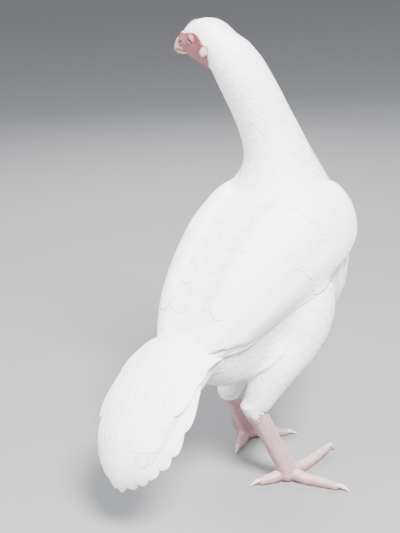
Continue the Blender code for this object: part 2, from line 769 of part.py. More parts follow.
def leg(side, home):
    end = "left" if side > 0 else "right"
    hock, joint = Vector(HOCKS[side]), Vector(FOOT_JOINTS[side])
    spots = [hock + Vector((-side * x, y, z)) for x, y, z, _ in THIGH_STATIONS]
    thigh = limb("thigh_" + end, spots, [row[3] for row in THIGH_STATIONS], PLUMAGE, home, 14, 2)
    shank = limb(
        "shank_" + end,
        [hock.lerp(joint, share) + Vector(SHANK_BACK) for share in (0, 0.2, 0.6, 1)],
        SHANK_RADII,
        LEG_SKIN, home, 10, 4, (1, 0, 0), None, SHANK_SCUTES, Vector((0, -1, 0)),
    )
    sole = foot(side, home)
    cut_clear(shank, [thigh])
    cut_clear(sole, [shank])
    return thigh, shank, sole


def carry(objects, home):
    """Hang every part on one empty, on the floor under the middle of the hen's box."""
    places = [vert.co for obj in objects for vert in obj.data.vertices]
    low = [min(p[axis] for p in places) for axis in range(3)]
    high = [max(p[axis] for p in places) for axis in range(3)]
    shift = Vector((-0.5 * (low[0] + high[0]), -0.5 * (low[1] + high[1]), -low[2]))
    root = bpy.data.objects.new("hen_root", None)
    home.objects.link(root)
    for obj in objects:
        for vert in obj.data.vertices:
            vert.co += shift
        obj.parent = root


def main():
    clear_scene()
    hen = bpy.data.collections.new("heera_aseel_hen")
    bpy.context.scene.collection.children.link(hen)
    body = torso(hen)
    throat = neck(hen)
    skull = head(hen)
    cut_clear(throat, [body, skull])
    upper_beak, lower_beak = beak(hen)
    cut_clear(upper_beak, [skull])
    cut_clear(lower_beak, [skull, upper_beak])
    eyes = []
    wings = []
    clearances = []
    thighs = []
    for side in (1, -1):
        end = "left" if side > 0 else "right"
        eyes.append(
            ball("eye_" + end, head_point(EYE[0], side * EYE[1], EYE[2]), EYE_RADIUS, EYE_GLASS, hen,
                 (1, 1, 1), (11, 7))
        )
        lobe = ball(
            "earlobe_" + end, head_point(LOBE[0], side * LOBE[1], LOBE[2]), LOBE_RADIUS, LOBE_SKIN, hen,
            LOBE_SHAPE, (10, 7),
        )
        cut_clear(lobe, [skull, throat])
        made, clearance = wing(side, body, hen)
        wings.append(made)
        clearances.append(clearance)
        thighs.append(leg(side, hen)[0])
    cut_clear(comb(hen), [skull])
    cut_clear(skull, eyes)
    for part in wings:
        cut_clear(part, [throat, body])
    for part, clearance in zip(thighs, clearances):
        cut_clear(part, [body, clearance])
    rear = tail(hen)
    cut_clear(rear, [body] + clearances)
    for clearance in clearances:
        bpy.data.objects.remove(clearance, do_unlink=True)
    for obj in hen.objects:
        tidy(obj)
        keep_largest(obj)
    carry(list(hen.objects), hen)


main()
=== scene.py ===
"""The looks of a still, life-size white Heera Aseel hen.

Every place is worked out from the point on the floor midway between the feet, as the
tables below give it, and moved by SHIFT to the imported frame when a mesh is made.
"""

import itertools
import math

import bpy
import numpy as np
from mathutils import Matrix, Vector, kdtree
from mathutils.bvhtree import BVHTree


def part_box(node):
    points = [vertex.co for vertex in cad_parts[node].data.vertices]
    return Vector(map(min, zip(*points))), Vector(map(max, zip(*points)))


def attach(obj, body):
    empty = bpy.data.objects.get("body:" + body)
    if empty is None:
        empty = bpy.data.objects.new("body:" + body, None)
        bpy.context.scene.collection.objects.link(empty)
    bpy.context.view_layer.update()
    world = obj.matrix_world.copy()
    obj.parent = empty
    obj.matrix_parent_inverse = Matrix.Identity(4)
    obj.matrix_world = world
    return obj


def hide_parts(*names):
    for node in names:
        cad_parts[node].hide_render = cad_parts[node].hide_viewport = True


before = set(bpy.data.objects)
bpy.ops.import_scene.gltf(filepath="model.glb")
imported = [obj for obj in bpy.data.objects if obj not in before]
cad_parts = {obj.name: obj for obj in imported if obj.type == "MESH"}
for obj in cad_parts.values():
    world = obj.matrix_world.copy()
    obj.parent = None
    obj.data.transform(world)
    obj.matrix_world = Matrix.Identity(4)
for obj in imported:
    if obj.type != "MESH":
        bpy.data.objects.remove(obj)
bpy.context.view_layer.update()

# The left eye's middle from midway between the feet; where it is packed tells the shift.
EYE_PLACE = Vector((0.06989158, 0.04635183, 0.552))
EYE_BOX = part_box("eye_left")
SHIFT = (Vector(EYE_BOX[0]) + Vector(EYE_BOX[1])) / 2 - EYE_PLACE
RANDOM = np.random.default_rng(11)

# The middle of the head, and how far it turns from her left side towards her back.
HEAD_CENTRE = Vector((0.067, 0.031, 0.548))
HEAD_TURN = math.radians(8)
# Head stations along the skull, from the nape to the bill: forward place, centre height,
# half width, height of the crown and depth of the throat.
HEAD_STATIONS = (
    (-0.046, -0.010, 0.012, 0.012, 0.012),
    (-0.040, -0.008, 0.020, 0.020, 0.022),
    (-0.027, -0.003, 0.0245, 0.027, 0.031),
    (-0.012, 0.000, 0.0225, 0.0288, 0.0318),
    (0.001, 0.002, 0.0190, 0.0258, 0.0285),
    (0.013, 0.002, 0.0165, 0.0215, 0.0215),
    (0.021, 0.0005, 0.0145, 0.0170, 0.0160),
    (0.028, -0.0010, 0.0112, 0.0122, 0.0112),
    (0.032, -0.0020, 0.0068, 0.0078, 0.0068),
)
FACE_RINGS = 170
FACE_SIDES = 200
SIDES = {1: "left", -1: "right"}
# The bare face's edge, then the nostril's slit and the gape, all as forward and up on the
# head in millimetres.
BARE_FACE = (
    (45.0, 13.0), (24.0, 12.5), (17.5, 11.5), (7.9, 12.2), (-1.1, 12.4), (-7.5, 9.8), (-13.5, 4.3),
    (-16.6, -0.4), (-21.8, -2.6), (-25.0, -5.0), (-24.6, -10.0), (-23.4, -14.5), (-22.2, -19.0),
    (-19.8, -24.0), (-15.5, -29.5), (-13.0, -40.0), (45.0, -40.0),
)
NOSTRIL_SLIT = ((28.2, -1.9), (25.0, -0.2), (21.2, 1.0))
GAPE = ((31.0, -8.6), (25.0, -8.8), (18.4, -9.6), (14.0, -11.2))
# Hills and hollows of the bare face in millimetres: centre, reach and height of the eye's
# socket, the cheek and the swelling over the nostril.
FACE_HILLS = (
    ((5.0, 3.4), (8.5, 6.5), -1.3),
    ((-3.0, -8.0), (8.0, 5.0), 0.8),
    ((25.5, 2.6), (4.5, 1.6), 0.7),
)
# How far the skin sinks under the feathers round the bare face, in millimetres.
FACE_SINK = 1.3
# The bare face's own colour, the factor that deepens it with all its tints, and the colour
# of the skin under the feathers round it.
FACE_COLOUR = (0.56, 0.30, 0.30)
FACE_DEPTH_OF_COLOUR = (0.41, 0.275, 0.29)
FEATHERED_COLOUR = (0.80, 0.74, 0.72)
# Tints of the bare face: centre and reach in millimetres, colour and share.
FACE_TINTS = (
    ((-6.0, 3.0), (8.0, 7.5), (0.47, 0.165, 0.175), 1.15),
    ((-10.0, -4.0), (5.0, 4.0), (0.46, 0.15, 0.16), 0.9),
    ((13.0, 7.5), (4.5, 3.5), (0.52, 0.20, 0.21), 0.8),
    ((12.0, -4.0), (4.0, 5.0), (0.56, 0.27, 0.36), 0.8),
    ((24.0, 3.0), (6.0, 5.0), (0.58, 0.33, 0.30), 0.8),
    ((9.0, -13.0), (5.0, 3.5), (0.66, 0.46, 0.45), 0.8),
    ((-8.0, -20.0), (11.0, 6.0), (0.60, 0.36, 0.37), 0.9),
    # This tint is the jaw's underside: its pink is the skin's own, its darkness is painted shade.
    ((2.0, -27.0), (24.0, 5.0), (0.42, 0.20, 0.23), 0.8),
    ((-22.0, -21.0), (4.0, 7.0), (0.46, 0.20, 0.22), 0.8),
)
# An eye's middle on the head, its radius and its slit's slope in degrees.
EYE = (0.005, 0.0148, 0.004)
EYE_RADIUS = 0.0058
EYE_SLOPE = 50.0
# Degrees round the eyeball: half the opening along the slit, over it and under it, and the
# lids' reach along and across.
LID_OPEN = (66.0, 15.0, 19.0)
LID_REACH = (88.0, 76.0)
# A lid in millimetres: its radius, swell, rolled rim, crease and wrinkles, and how steeply it dips
# inside its rim and sinks into the face outside.
LID_RADIUS = 6.28
LID_SWELL = 0.5
LID_RIM = 0.34
LID_CREASE = 0.13
LID_WRINKLES = 0.07
LID_DIP = 4.2
LID_SINK = 2.2
# Painted shade in the eye's slit, darkest at the lids' rim and where they dip into the eye, and the lids' own
# colour.
RIM_SHADE_COLOUR = (0.17, 0.06, 0.065)
LID_COLOUR = (0.36, 0.135, 0.15)
# The eyeball's colours out to an angle from its middle in degrees, widest first.
EYE_COLOURS = (
    (180, (0.16, 0.09, 0.08)),
    (56, (0.04, 0.025, 0.02)),
    (50, (0.05, 0.032, 0.022)),
    (28, (0.004, 0.004, 0.004)),
)
# Points round a lid and rings across it.
LID_AROUND = 120
LID_ACROSS = 34
# An ear lobe's middle on the head, its half sizes and its colours against the face and outside.
LOBE = (-0.0174, 0.0232, -0.0094)
LOBE_SIZE = (0.0060, 0.0030, 0.0058)
LOBE_COLOURS = ((0.35, 0.17, 0.175), (0.46, 0.355, 0.345))
# The comb from front to back on the head, its half width, the heights of its ground, of the
# ridges on it and of the knobs on those, how many knobs it has along it, and its colours.
COMB_FRONT = 0.0215
COMB_BACK = 0.0085
COMB_HALF_WIDTH = 0.0050
COMB_HEIGHTS = (0.0003, 0.0006, 0.0006)
COMB_KNOBS = 3.5
COMB_COLOURS = ((0.50, 0.33, 0.31), (0.56, 0.38, 0.36))
BEAK_COLOURS = ((0.50, 0.29, 0.205), (0.56, 0.39, 0.265))
CLAW_COLOURS = ((0.60, 0.44, 0.36), (0.74, 0.66, 0.52))
CLAW_RADII = (0.0034, 0.0030, 0.0018, 0.00055)
LEG_COLOURS = ((0.37, 0.185, 0.19), (0.53, 0.345, 0.355))
# Halves of the beak from the face to the tip: share, forward place, top, edge and half width
# in millimetres, and how square the section is.
BEAK_UPPER = (
    (0.00, 16.5, -3.0, -9.2, 12.6, 0.75),
    (0.18, 21.0, 0.2, -8.9, 13.2, 0.75),
    (0.38, 26.5, 4.6, -8.4, 11.6, 0.80),
    (0.55, 31.0, 6.2, -8.3, 9.6, 0.85),
    (0.70, 35.0, 4.6, -8.9, 7.3, 0.90),
    (0.84, 38.6, 0.4, -10.2, 4.9, 0.95),
    (0.94, 40.8, -5.6, -12.0, 2.9, 1.0),
    (1.00, 41.6, -11.4, -13.6, 0.9, 1.0),
)
BEAK_LOWER = (
    (0.00, 15.0, -9.9, -13.6, 11.0, 0.80),
    (0.30, 22.0, -9.6, -14.3, 10.4, 0.80),
    (0.60, 29.5, -9.3, -14.2, 8.2, 0.85),
    (0.85, 35.5, -10.2, -13.6, 5.0, 0.90),
    (1.00, 38.6, -11.8, -12.8, 1.8, 0.95),
)
# Neck stations from the shoulders to inside the head: share, centre x, y, z, half width and
# half depth.
NECK_STATIONS = (
    (0.00, 0.000, -0.040, 0.325, 0.060, 0.062),
    (0.18, 0.004, -0.036, 0.365, 0.061, 0.061),
    (0.36, 0.004, -0.029, 0.407, 0.040, 0.043),
    (0.55, 0.010, -0.016, 0.448, 0.0325, 0.035),
    (0.75, 0.018, 0.006, 0.495, 0.030, 0.032),
    (0.90, 0.028, 0.022, 0.528, 0.028, 0.029),
    (1.00, 0.040, 0.030, 0.545, 0.022, 0.022),
)
# Wing stations from the bend to the tip: share, then x, y and z of the upper edge, of the
# middle and of the lower edge, and the thickness.
WING_STATIONS = (
    (0.00, 0.056, -0.092, 0.362, 0.067, -0.102, 0.334, 0.064, -0.100, 0.308, 0.007),
    (0.10, 0.050, -0.066, 0.386, 0.083, -0.086, 0.340, 0.078, -0.080, 0.296, 0.011),
    (0.25, 0.040, -0.020, 0.388, 0.090, -0.040, 0.330, 0.086, -0.040, 0.276, 0.013),
    (0.45, 0.030, 0.048, 0.352, 0.086, 0.015, 0.310, 0.088, 0.010, 0.256, 0.013),
    (0.65, 0.026, 0.096, 0.312, 0.068, 0.070, 0.280, 0.082, 0.060, 0.242, 0.010),
    (0.82, 0.024, 0.130, 0.262, 0.054, 0.112, 0.246, 0.066, 0.104, 0.222, 0.007),
    (0.93, 0.026, 0.148, 0.230, 0.042, 0.136, 0.222, 0.050, 0.130, 0.210, 0.005),
    (1.00, 0.028, 0.162, 0.210, 0.033, 0.158, 0.206, 0.037, 0.154, 0.203, 0.004),
)
# How far the wing's whole face lies off the body.
WING_LIFT = 0.0012
# Tail stations from root to tip: share, centre y and z, half width, rise of the top, depth
# under the centre, and how far the sides sag.
TAIL_STATIONS = (
    (0.00, 0.122, 0.216, 0.034, 0.012, 0.030, 0.004),
    (0.15, 0.170, 0.206, 0.054, 0.018, 0.046, 0.010),
    (0.35, 0.216, 0.178, 0.064, 0.014, 0.038, 0.015),
    (0.55, 0.246, 0.143, 0.073, 0.010, 0.022, 0.023),
    (0.75, 0.262, 0.107, 0.067, 0.006, 0.009, 0.023),
    (0.90, 0.263, 0.080, 0.045, 0.004, 0.004, 0.013),
    (1.00, 0.258, 0.062, 0.010, 0.002, 0.002, 0.001),
)
HOCKS = {1: Vector((0.0365, 0.032, 0.098)), -1: Vector((-0.035, 0.065, 0.1075))}
FOOT_JOINTS = {1: Vector((0.0567, -0.0209, 0.0165)), -1: Vector((-0.0567, 0.0311, 0.0165))}

# The camera's lens in millimetres, its heading, pitch and roll in degrees, and its place.
CAMERA_LENS = 67.5
CAMERA_TURN = (-46.0, 18.4, -2.2)
CAMERA_PLACE = (-0.771, 0.918, 0.67)
# Lamps that look at a place over the floor: name, place, size, power and colour.
LIT_HEIGHT = 0.28
LIGHTS = (
    ("key", (-1.3, 0.7, 2.0), 0.8, 295.0, (1.0, 0.99, 0.98)),
    ("fill", (0.6, 2.0, 1.1), 1.8, 84.0, (0.94, 0.96, 1.0)),
    ("rim", (1.4, -1.2, 1.6), 1.2, 62.0, (1.0, 1.0, 1.0)),
)

FLESH = ("torso", "neck", "head", "thigh_left", "thigh_right", "wing_left", "wing_right", "tail")
SKIN_VOXEL = 0.0028
NOTCH_ROUNDS = 30
# Where the flank's coat laps over the right thigh: places down its line, how high it stands
# there, how far behind the line it fades, and how far from the line it reaches at all.
FLANK_LINE = (
    (-0.0700, 0.0410, 0.1950), (-0.0695, 0.0477, 0.1884), (-0.0670, 0.0543, 0.1815),
    (-0.0628, 0.0607, 0.1740), (-0.0554, 0.0671, 0.1670), (-0.0441, 0.0707, 0.1611),
    (-0.0374, 0.0725, 0.1545), (-0.0311, 0.0721, 0.1471),
)
FLANK_RISE = 0.0034
FLANK_SPREAD = ((-0.0016, 0.0), (0.0010, 1.0), (0.0040, 0.92), (0.0180, 0.30), (0.0300, 0.0))
FLANK_REACH = 0.034
FLANK_STEPS = 50
LEG_VOXEL = 0.0008
# Scales in millimetres: two columns of plates down a shank's front and back by a column's middle
# and half width in degrees, pitch, stagger and height; plates on a toe by half width, pitch and
# height; small scales between them and under the toes, and the toes' pads, by pitch and height.
FRONT_PLATES = (37, 38, 6.2, 3.1, 0.62)
BACK_PLATES = (157, 23, 4.8, 2.4, 0.40)
TOE_PLATES = (72, 5.0, 0.78)
SMALL_SCALES = (2.3, 0.22)
PAD_SCALES = (1.5, 0.16)
PADS = (13, 0.30)
PADS_FROM = 128
# Millimetres added to places along a leg, so that none is below nought where scales repeat.
CELL_SHIFT = 500
# How far the grooves between scales lie under the leg's form, in millimetres, and up to what
# height over the floor the feet are darkened.
GROOVE = 0.25
FLOOR_DARKENING_TO = 0.016
# A shank's radii above the hock, at it and on to the foot, and how far back its middle lies.
SHANK_RADII = (0.0095, 0.0124, 0.0121, 0.0116, 0.0122)
SHANK_BACK = np.array((0.0012, 0.0012, 0.0))
# The sleeve of feathers round the top of a shank: places along it and radii.
SLEEVE = ((-0.012, 0.0160), (-0.007, 0.0162), (-0.003, 0.0155), (0.001, 0.0144), (0.004, 0.0122))
# The ball of the foot: half width, half height and how far it lies under the joint.
BALL = (0.0128, 0.0115, 0.0066)
# Each toe: its turn from straight ahead for the left and the right foot, the length of its
# flesh from the joint, the length of its claw, its radius at the root and at the end, and
# the height of the end's middle.
TOES = {
    "inner": ({1: -44, -1: 51}, {1: 0.0567, -1: 0.0530}, 0.013, 0.0072, 0.0055, {1: 0.0040, -1: 0.0040}),
    "middle": ({1: 22, -1: -0.5}, {1: 0.0740, -1: 0.0860}, 0.015, 0.0078, 0.0055, {1: 0.0040, -1: 0.0095}),
    "outer": ({1: 58, -1: -73}, {1: 0.0600, -1: 0.0690}, 0.014, 0.0075, 0.0056, {1: 0.0041, -1: 0.0041}),
    "hind": ({1: -157.5, -1: 152}, {1: 0.0370, -1: 0.0390}, 0.012, 0.0070, 0.0056, {1: 0.0041, -1: 0.0041}),
}

# The regions of the coat, each a piece, in the order in which they are made.
COATS = ("head", "neck", "torso", "thigh", "tail")
# Where the coat points: forward and up on the head, and so the way there.
HEAD_LIE = (
    (0.012, 0.018, -1, 0.2), (-0.012, 0.028, -1, 0), (-0.036, 0.014, -0.5, -1),
    (-0.012, 0.000, -0.9, -0.5), (0.000, -0.022, -0.4, -1), (0.012, -0.014, -1, -0.8),
)
# The same down the middle of the body: y and z of place and way.
MIDDLE_LIE = (
    (-0.125, 0.30, 0.10, -1.0), (-0.130, 0.26, 0.35, -1.0), (-0.100, 0.21, 0.90, -0.7),
    (-0.040, 0.19, 1.0, -0.2), (0.030, 0.17, 1.0, -0.15), (0.100, 0.16, 1.0, -0.3),
    (0.000, 0.36, 0.85, -0.4), (0.060, 0.32, 0.85, -0.5), (0.110, 0.27, 0.8, -0.6),
    (0.160, 0.21, 0.85, -0.55), (0.215, 0.17, 0.55, -0.8), (0.250, 0.13, 0.25, -1.0),
)
# The same on her left side, and mirrored on her right: place and way.
SIDE_LIE = (
    ((0.066, -0.09, 0.30), (0.05, 0.45, -1.0)),
    ((0.075, -0.03, 0.30), (0, 1.0, -0.5)),
    ((0.070, 0.04, 0.26), (0, 1.0, -0.5)),
    ((0.050, 0.10, 0.21), (0, 1.0, -0.5)),
    ((0.060, -0.02, 0.22), (0, 0.6, -1.0)),
)
# A thigh's hip from its hock on her left, and shares of the way up at which its coat is led.
HIP = (0.018, -0.076, 0.152)
THIGH_LIE = (0.0, 0.2, 0.4, 0.6)
# The coat by distance from the face, then from a hock: the distance, the length, half width and
# spacing of the feathers, and the depth of the coat.
COAT_FROM_FACE = (
    (0.014, 0.0042, 0.0009, 0.0011, 0.0009),
    (0.030, 0.0060, 0.0012, 0.0014, 0.0012),
    (0.050, 0.0095, 0.0017, 0.0019, 0.0017),
    (0.090, 0.0145, 0.0024, 0.0026, 0.0023),
    (0.150, 0.0200, 0.0032, 0.0033, 0.0029),
    (0.220, 0.0250, 0.0043, 0.0041, 0.0035),
    (0.290, 0.0300, 0.0056, 0.0050, 0.0040),
)
COAT_FROM_HOCK = (
    (0.000, 0.0080, 0.0015, 0.0018, 0.0011),
    (0.020, 0.0110, 0.0021, 0.0024, 0.0017),
    (0.050, 0.0170, 0.0030, 0.0033, 0.0026),
    (0.090, 0.0240, 0.0042, 0.0043, 0.0034),
    (0.140, 0.0300, 0.0056, 0.0050, 0.0040),
)
# Where the body is thinner than this no coat lies, and the tail's own feathers cover it. Its
# thickness is felt to a depth.
THIN = 0.0085
FELT_DEPTH = 0.03
# How far the skin lies under the outer form: as a share of the coat's depth, and on the face.
SKIN_SHARE = 0.32
SKIN_UNDER_FACE = 0.0045
# Millimetres inside the face's edge, and height in metres, from which the skin lies that deep
# and from which no feathers grow.
SKIN_FACE_FROM = (-3.0, 0.50)
COAT_FACE_TO = (-0.4, 0.49)
# How much a feather takes its shading from the outer form instead of its own shape.
COAT_SOFTNESS = 0.4
# Places tried for each feather, and the size of a feather's patch on the flat unwrap.
SCATTER_TRIES = 5
BAKE_PATCH = 0.003
# How much feathers differ in length and half width, in lift and in turn, how far a tip lifts
# in half widths, and how deep a root lies in depths of the coat.
FEATHER_VARIES = (0.10, 0.10, 0.03, 0.05)
FEATHER_LIFT = 0.07
ROOT_DEPTH = 1.1
# Where a small feather begins to narrow to its tip, on the head and neck and elsewhere.
FINE_TIP = 0.35
BROAD_TIP = 0.5
# Grids of a small feather and a long one, with rows closer together towards the tip.
VANE_ROWS = 7
VANE_COLUMNS = 5
VANE_ALONG = 1 - (1 - np.linspace(0, 1, VANE_ROWS)) ** 1.55
VANE_ACROSS = np.linspace(-1, 1, VANE_COLUMNS)
VANE_CAMBER = 0.07
LONG_ROWS = 15
LONG_COLUMNS = 7
LONG_ALONG = 1 - (1 - np.linspace(0, 1, LONG_ROWS)) ** 1.7
# How far a long feather's shaft stands up and its tip dips.
SHAFT_RISE = 0.0002
TIP_DIP = 0.0004

# Tiers on a wing, lowest first: how many, t of the first and the last root, t of the first and
# the last tip, v of root and tip of the first and of the last, half width, height and tilt.
WING_TIERS = (
    (5, (0.30, 0.40), (0.90, 0.99), (-1.16, -1.22), (-0.92, -0.84), 0.0072, 0.0000, 0.0007),
    (12, (0.26, 0.36), (0.86, 0.975), (-0.90, -0.92), (0.60, 0.30), 0.0092, 0.0009, 0.0013),
    (5, (0.26, 0.30), (0.68, 0.86), (0.40, 0.30), (0.88, 0.62), 0.0100, 0.0011, 0.0010),
    (14, (0.20, 0.25), (0.48, 0.62), (-0.90, -0.90), (0.84, 0.84), 0.0082, 0.0013, 0.0009),
    (14, (0.13, 0.17), (0.34, 0.42), (-0.88, -0.90), (0.88, 0.90), 0.0076, 0.0015, 0.0008),
    (14, (0.08, 0.11), (0.26, 0.31), (-0.86, -0.88), (0.90, 0.92), 0.0070, 0.0017, 0.0006),
    (14, (0.04, 0.06), (0.20, 0.23), (-0.84, -0.88), (0.90, 0.92), 0.0066, 0.0018, 0.0005),
    (13, (0.01, 0.02), (0.14, 0.16), (-0.84, -0.88), (0.88, 0.90), 0.0062, 0.0019, 0.0005),
    (12, (0.00, 0.00), (0.08, 0.10), (-0.84, -0.88), (0.86, 0.90), 0.0058, 0.0020, 0.0004),
)
# How far a wing's edges stand off the body, how often its face is smoothed, how wide the body
# is felt for its slope, how far its lower part stays over the coat, and from where to where
# along it the tip comes free of the body.
WING_EDGE = 0.0010
WING_SMOOTHING = 4
WING_PROBE = 0.014
WING_OVER_COAT = 0.0012
WING_FREE = (0.75, 0.95)

# How much of the top's rise the tail loses to its sides, and how far its tip lies to her left.
TAIL_ROUND = 0.8
TAIL_ASIDE = 0.011
# Pairs of tail feathers from the middle outwards: t of root and tip, distance of root and tip
# from the ridge, and half width. Each pair lies a step under the one before.
TAIL_FEATHERS = (
    (0.20, 1.00, 0.004, 0.007, 0.0130),
    (0.20, 0.98, 0.010, 0.022, 0.0130),
    (0.20, 0.93, 0.016, 0.036, 0.0130),
    (0.20, 0.85, 0.023, 0.047, 0.0130),
    (0.18, 0.75, 0.029, 0.058, 0.0125),
    (0.16, 0.63, 0.035, 0.064, 0.0120),
    (0.12, 0.48, 0.040, 0.064, 0.0115),
)
TAIL_FEATHER_STEP = 0.0012
TAIL_SIDE_STEP = 0.0006
# Rows of coverts over the tail: t of root and tip, how many, spread at the roots and at the
# tips, half width and height.
TAIL_COVERTS = (
    (0.22, 0.66, 9, (0.040, 0.044), 0.0100, 0.0003),
    (0.16, 0.54, 9, (0.044, 0.050), 0.0105, 0.0012),
    (0.08, 0.42, 10, (0.044, 0.052), 0.0100, 0.0018),
    (0.02, 0.30, 10, (0.040, 0.052), 0.0095, 0.0022),
    (-0.04, 0.20, 10, (0.034, 0.048), 0.0090, 0.0024),
)
# Rows of coverts under the tail, in the same way, lowest last.
UNDER_COVERTS = (
    (0.46, 0.92, 8, (0.044, 0.034), 0.0090, 0.0004),
    (0.36, 0.80, 9, (0.044, 0.048), 0.0088, 0.0009),
    (0.28, 0.66, 9, (0.040, 0.050), 0.0085, 0.0014),
)
# Rows of small feathers round the top of a shank: root and tip along it, their radii, how many
# and half width.
FRINGE = (
    ((-0.007, 0.0065), (0.0147, 0.0138), 46, 0.0016),
    ((-0.009, 0.0028), (0.0150, 0.0145), 46, 0.0017),
    ((-0.010, -0.0008), (0.0153, 0.0151), 46, 0.0018),
)
# Skin, horn and eye: roughness, clear coat, share and reach of light under the surface, fineness
# of the grain and strength of its relief.
SKINS = {
    "face_skin": (0.48, 0.10, 0.25, (0.004, 0.0016, 0.0012), 900.0, 0.35),
    "lobe_skin": (0.52, 0.05, 0.25, (0.004, 0.0024, 0.002), 700.0, 0.25),
    "leg_skin": (0.50, 0.08, 0.12, (0.003, 0.0016, 0.0012), 520.0, 0.2),
    "horn": (0.32, 0.25, 0.12, (0.002, 0.0014, 0.001), 420.0, 0.1),
    "eye": (0.08, 0.5, 0.0, (0.001, 0.001, 0.001), 1500.0, 0.0),
}
# White plumage at its lightest and darkest; barbs on a vane: radians along it, slant and height,
# and the height of the shaft between them.
WHITE = (0.93, 0.93, 0.92)
SHADED_WHITE = (0.86, 0.86, 0.85)
BARBS = (260.0, -0.35, 0.5)
SHAFT_HEIGHT = 2.5
# How much finer pores are than the grain, and how deep a relief of one is in metres.
PORES = 1.6
RELIEF = 0.0002
# The floor's colour and half its width, and the light of the sky.
FLOOR_GREY = (0.225, 0.225, 0.23, 1)
FLOOR_EDGE = 40.0
SKY = (0.80, 0.83, 0.88, 1)
SKY_STRENGTH = 0.78


def smooth_table(table, t):
    """The table's columns at t, on a curve through its rows."""
    rows = np.array(table, float)
    knots = rows[:, 0]
    slopes = np.gradient(rows[:, 1:], knots, axis=0)
    t = min(max(t, knots[0]), knots[-1])
    i = min(max(int(np.searchsorted(knots, t) - 1), 0), len(knots) - 2)
    span = knots[i + 1] - knots[i]
    s = (t - knots[i]) / span
    a, b = rows[i, 1:], rows[i + 1, 1:]
    return (
        a * (2 * s**3 - 3 * s**2 + 1)
        + slopes[i] * span * (s**3 - 2 * s**2 + s)
        + b * (-2 * s**3 + 3 * s**2)
        + slopes[i + 1] * span * (s**3 - s**2)
    )


def unit(vectors):
    """Each row of the array at length one."""
    length = np.linalg.norm(vectors, axis=-1, keepdims=True)
    return vectors / np.maximum(length, 1e-9)


def head_axes():
    forward = Vector((math.cos(HEAD_TURN), math.sin(HEAD_TURN), 0))
    left = Vector((-math.sin(HEAD_TURN), math.cos(HEAD_TURN), 0))
    return forward, left, Vector((0, 0, 1))


def head_point(forward, left, up):
    f, l, u = head_axes()
    return HEAD_CENTRE + f * forward + l * left + u * up


def link(obj):
    bpy.context.scene.collection.objects.link(obj)
    return obj


def shank_ends(side):
    """The middles of a hock and of the joint over the foot."""
    return np.array(HOCKS[side]), np.array(FOOT_JOINTS[side])


def ramp(value, start=0.0, end=1.0):
    """0 up to the start, 1 from the end on."""
    return min(max((value - start) / (end - start), 0), 1)


def blend(colours, share):
    """From the first colour to the second by a share at each point."""
    return np.array(colours[0]) * (1 - share) + np.array(colours[1]) * share


def mesh_piece(name, points, faces, material, nodes=(), caps=()):
    """A mesh of points and equal faces, moved to the frame, that rides and replaces.

    The caps are triangles that close it at its ends.
    """
    points = np.asarray(points, float).reshape(-1, 3) + np.array(SHIFT)
    faces = np.asarray(faces, int)
    corners = np.concatenate([faces.ravel(), np.asarray(caps, int).ravel()])
    starts = np.arange(0, faces.size, faces.shape[1])
    mesh = bpy.data.meshes.new(name)
    mesh.vertices.add(len(points))
    mesh.vertices.foreach_set("co", points.ravel())
    mesh.loops.add(len(corners))
    mesh.loops.foreach_set("vertex_index", corners)
    mesh.polygons.add(len(faces) + len(caps))
    mesh.polygons.foreach_set("loop_start", np.concatenate([starts, faces.size + 3 * np.arange(len(caps))]))
    mesh.update(calc_edges=True)
    mesh.validate()
    mesh.shade_smooth()
    mesh.materials.append(material)
    obj = link(bpy.data.objects.new(name, mesh))
    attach(obj, "root")
    if nodes:
        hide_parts(*nodes)
    return obj


def mesh_arrays(mesh):
    """A mesh's points and triangles."""
    mesh.calc_loop_triangles()
    points = np.empty(len(mesh.vertices) * 3)
    mesh.vertices.foreach_get("co", points)
    triangles = np.empty(len(mesh.loop_triangles) * 3, int)
    mesh.loop_triangles.foreach_get("vertices", triangles)
    return points.reshape(-1, 3), triangles.reshape(-1, 3)


def grid_faces(rows, columns):
    """Quads of an open grid of points."""
    cell = np.arange(rows * columns).reshape(rows, columns)
    return np.stack([cell[:-1, :-1], cell[:-1, 1:], cell[1:, 1:], cell[1:, :-1]], -1).reshape(-1, 4)


def ring_faces(rows, columns):
    """Quads between rings that close on themselves."""
    cell = np.arange(rows * columns).reshape(rows, columns)
    near, far = cell[:-1], cell[1:]
    return np.stack([near, np.roll(near, -1, 1), np.roll(far, -1, 1), far], -1).reshape(-1, 4)


def point_normals(points, faces):
    """Normals at the points, outward where the faces wind that way."""
    a, b, c = (points[faces[:, i]] for i in range(3))
    cross = np.cross(b - a, c - a)
    normals = np.zeros_like(points)
    for i in range(3):
        for axis in range(3):
            normals[:, axis] += np.bincount(faces[:, i], cross[:, axis], len(points))
    return unit(normals)


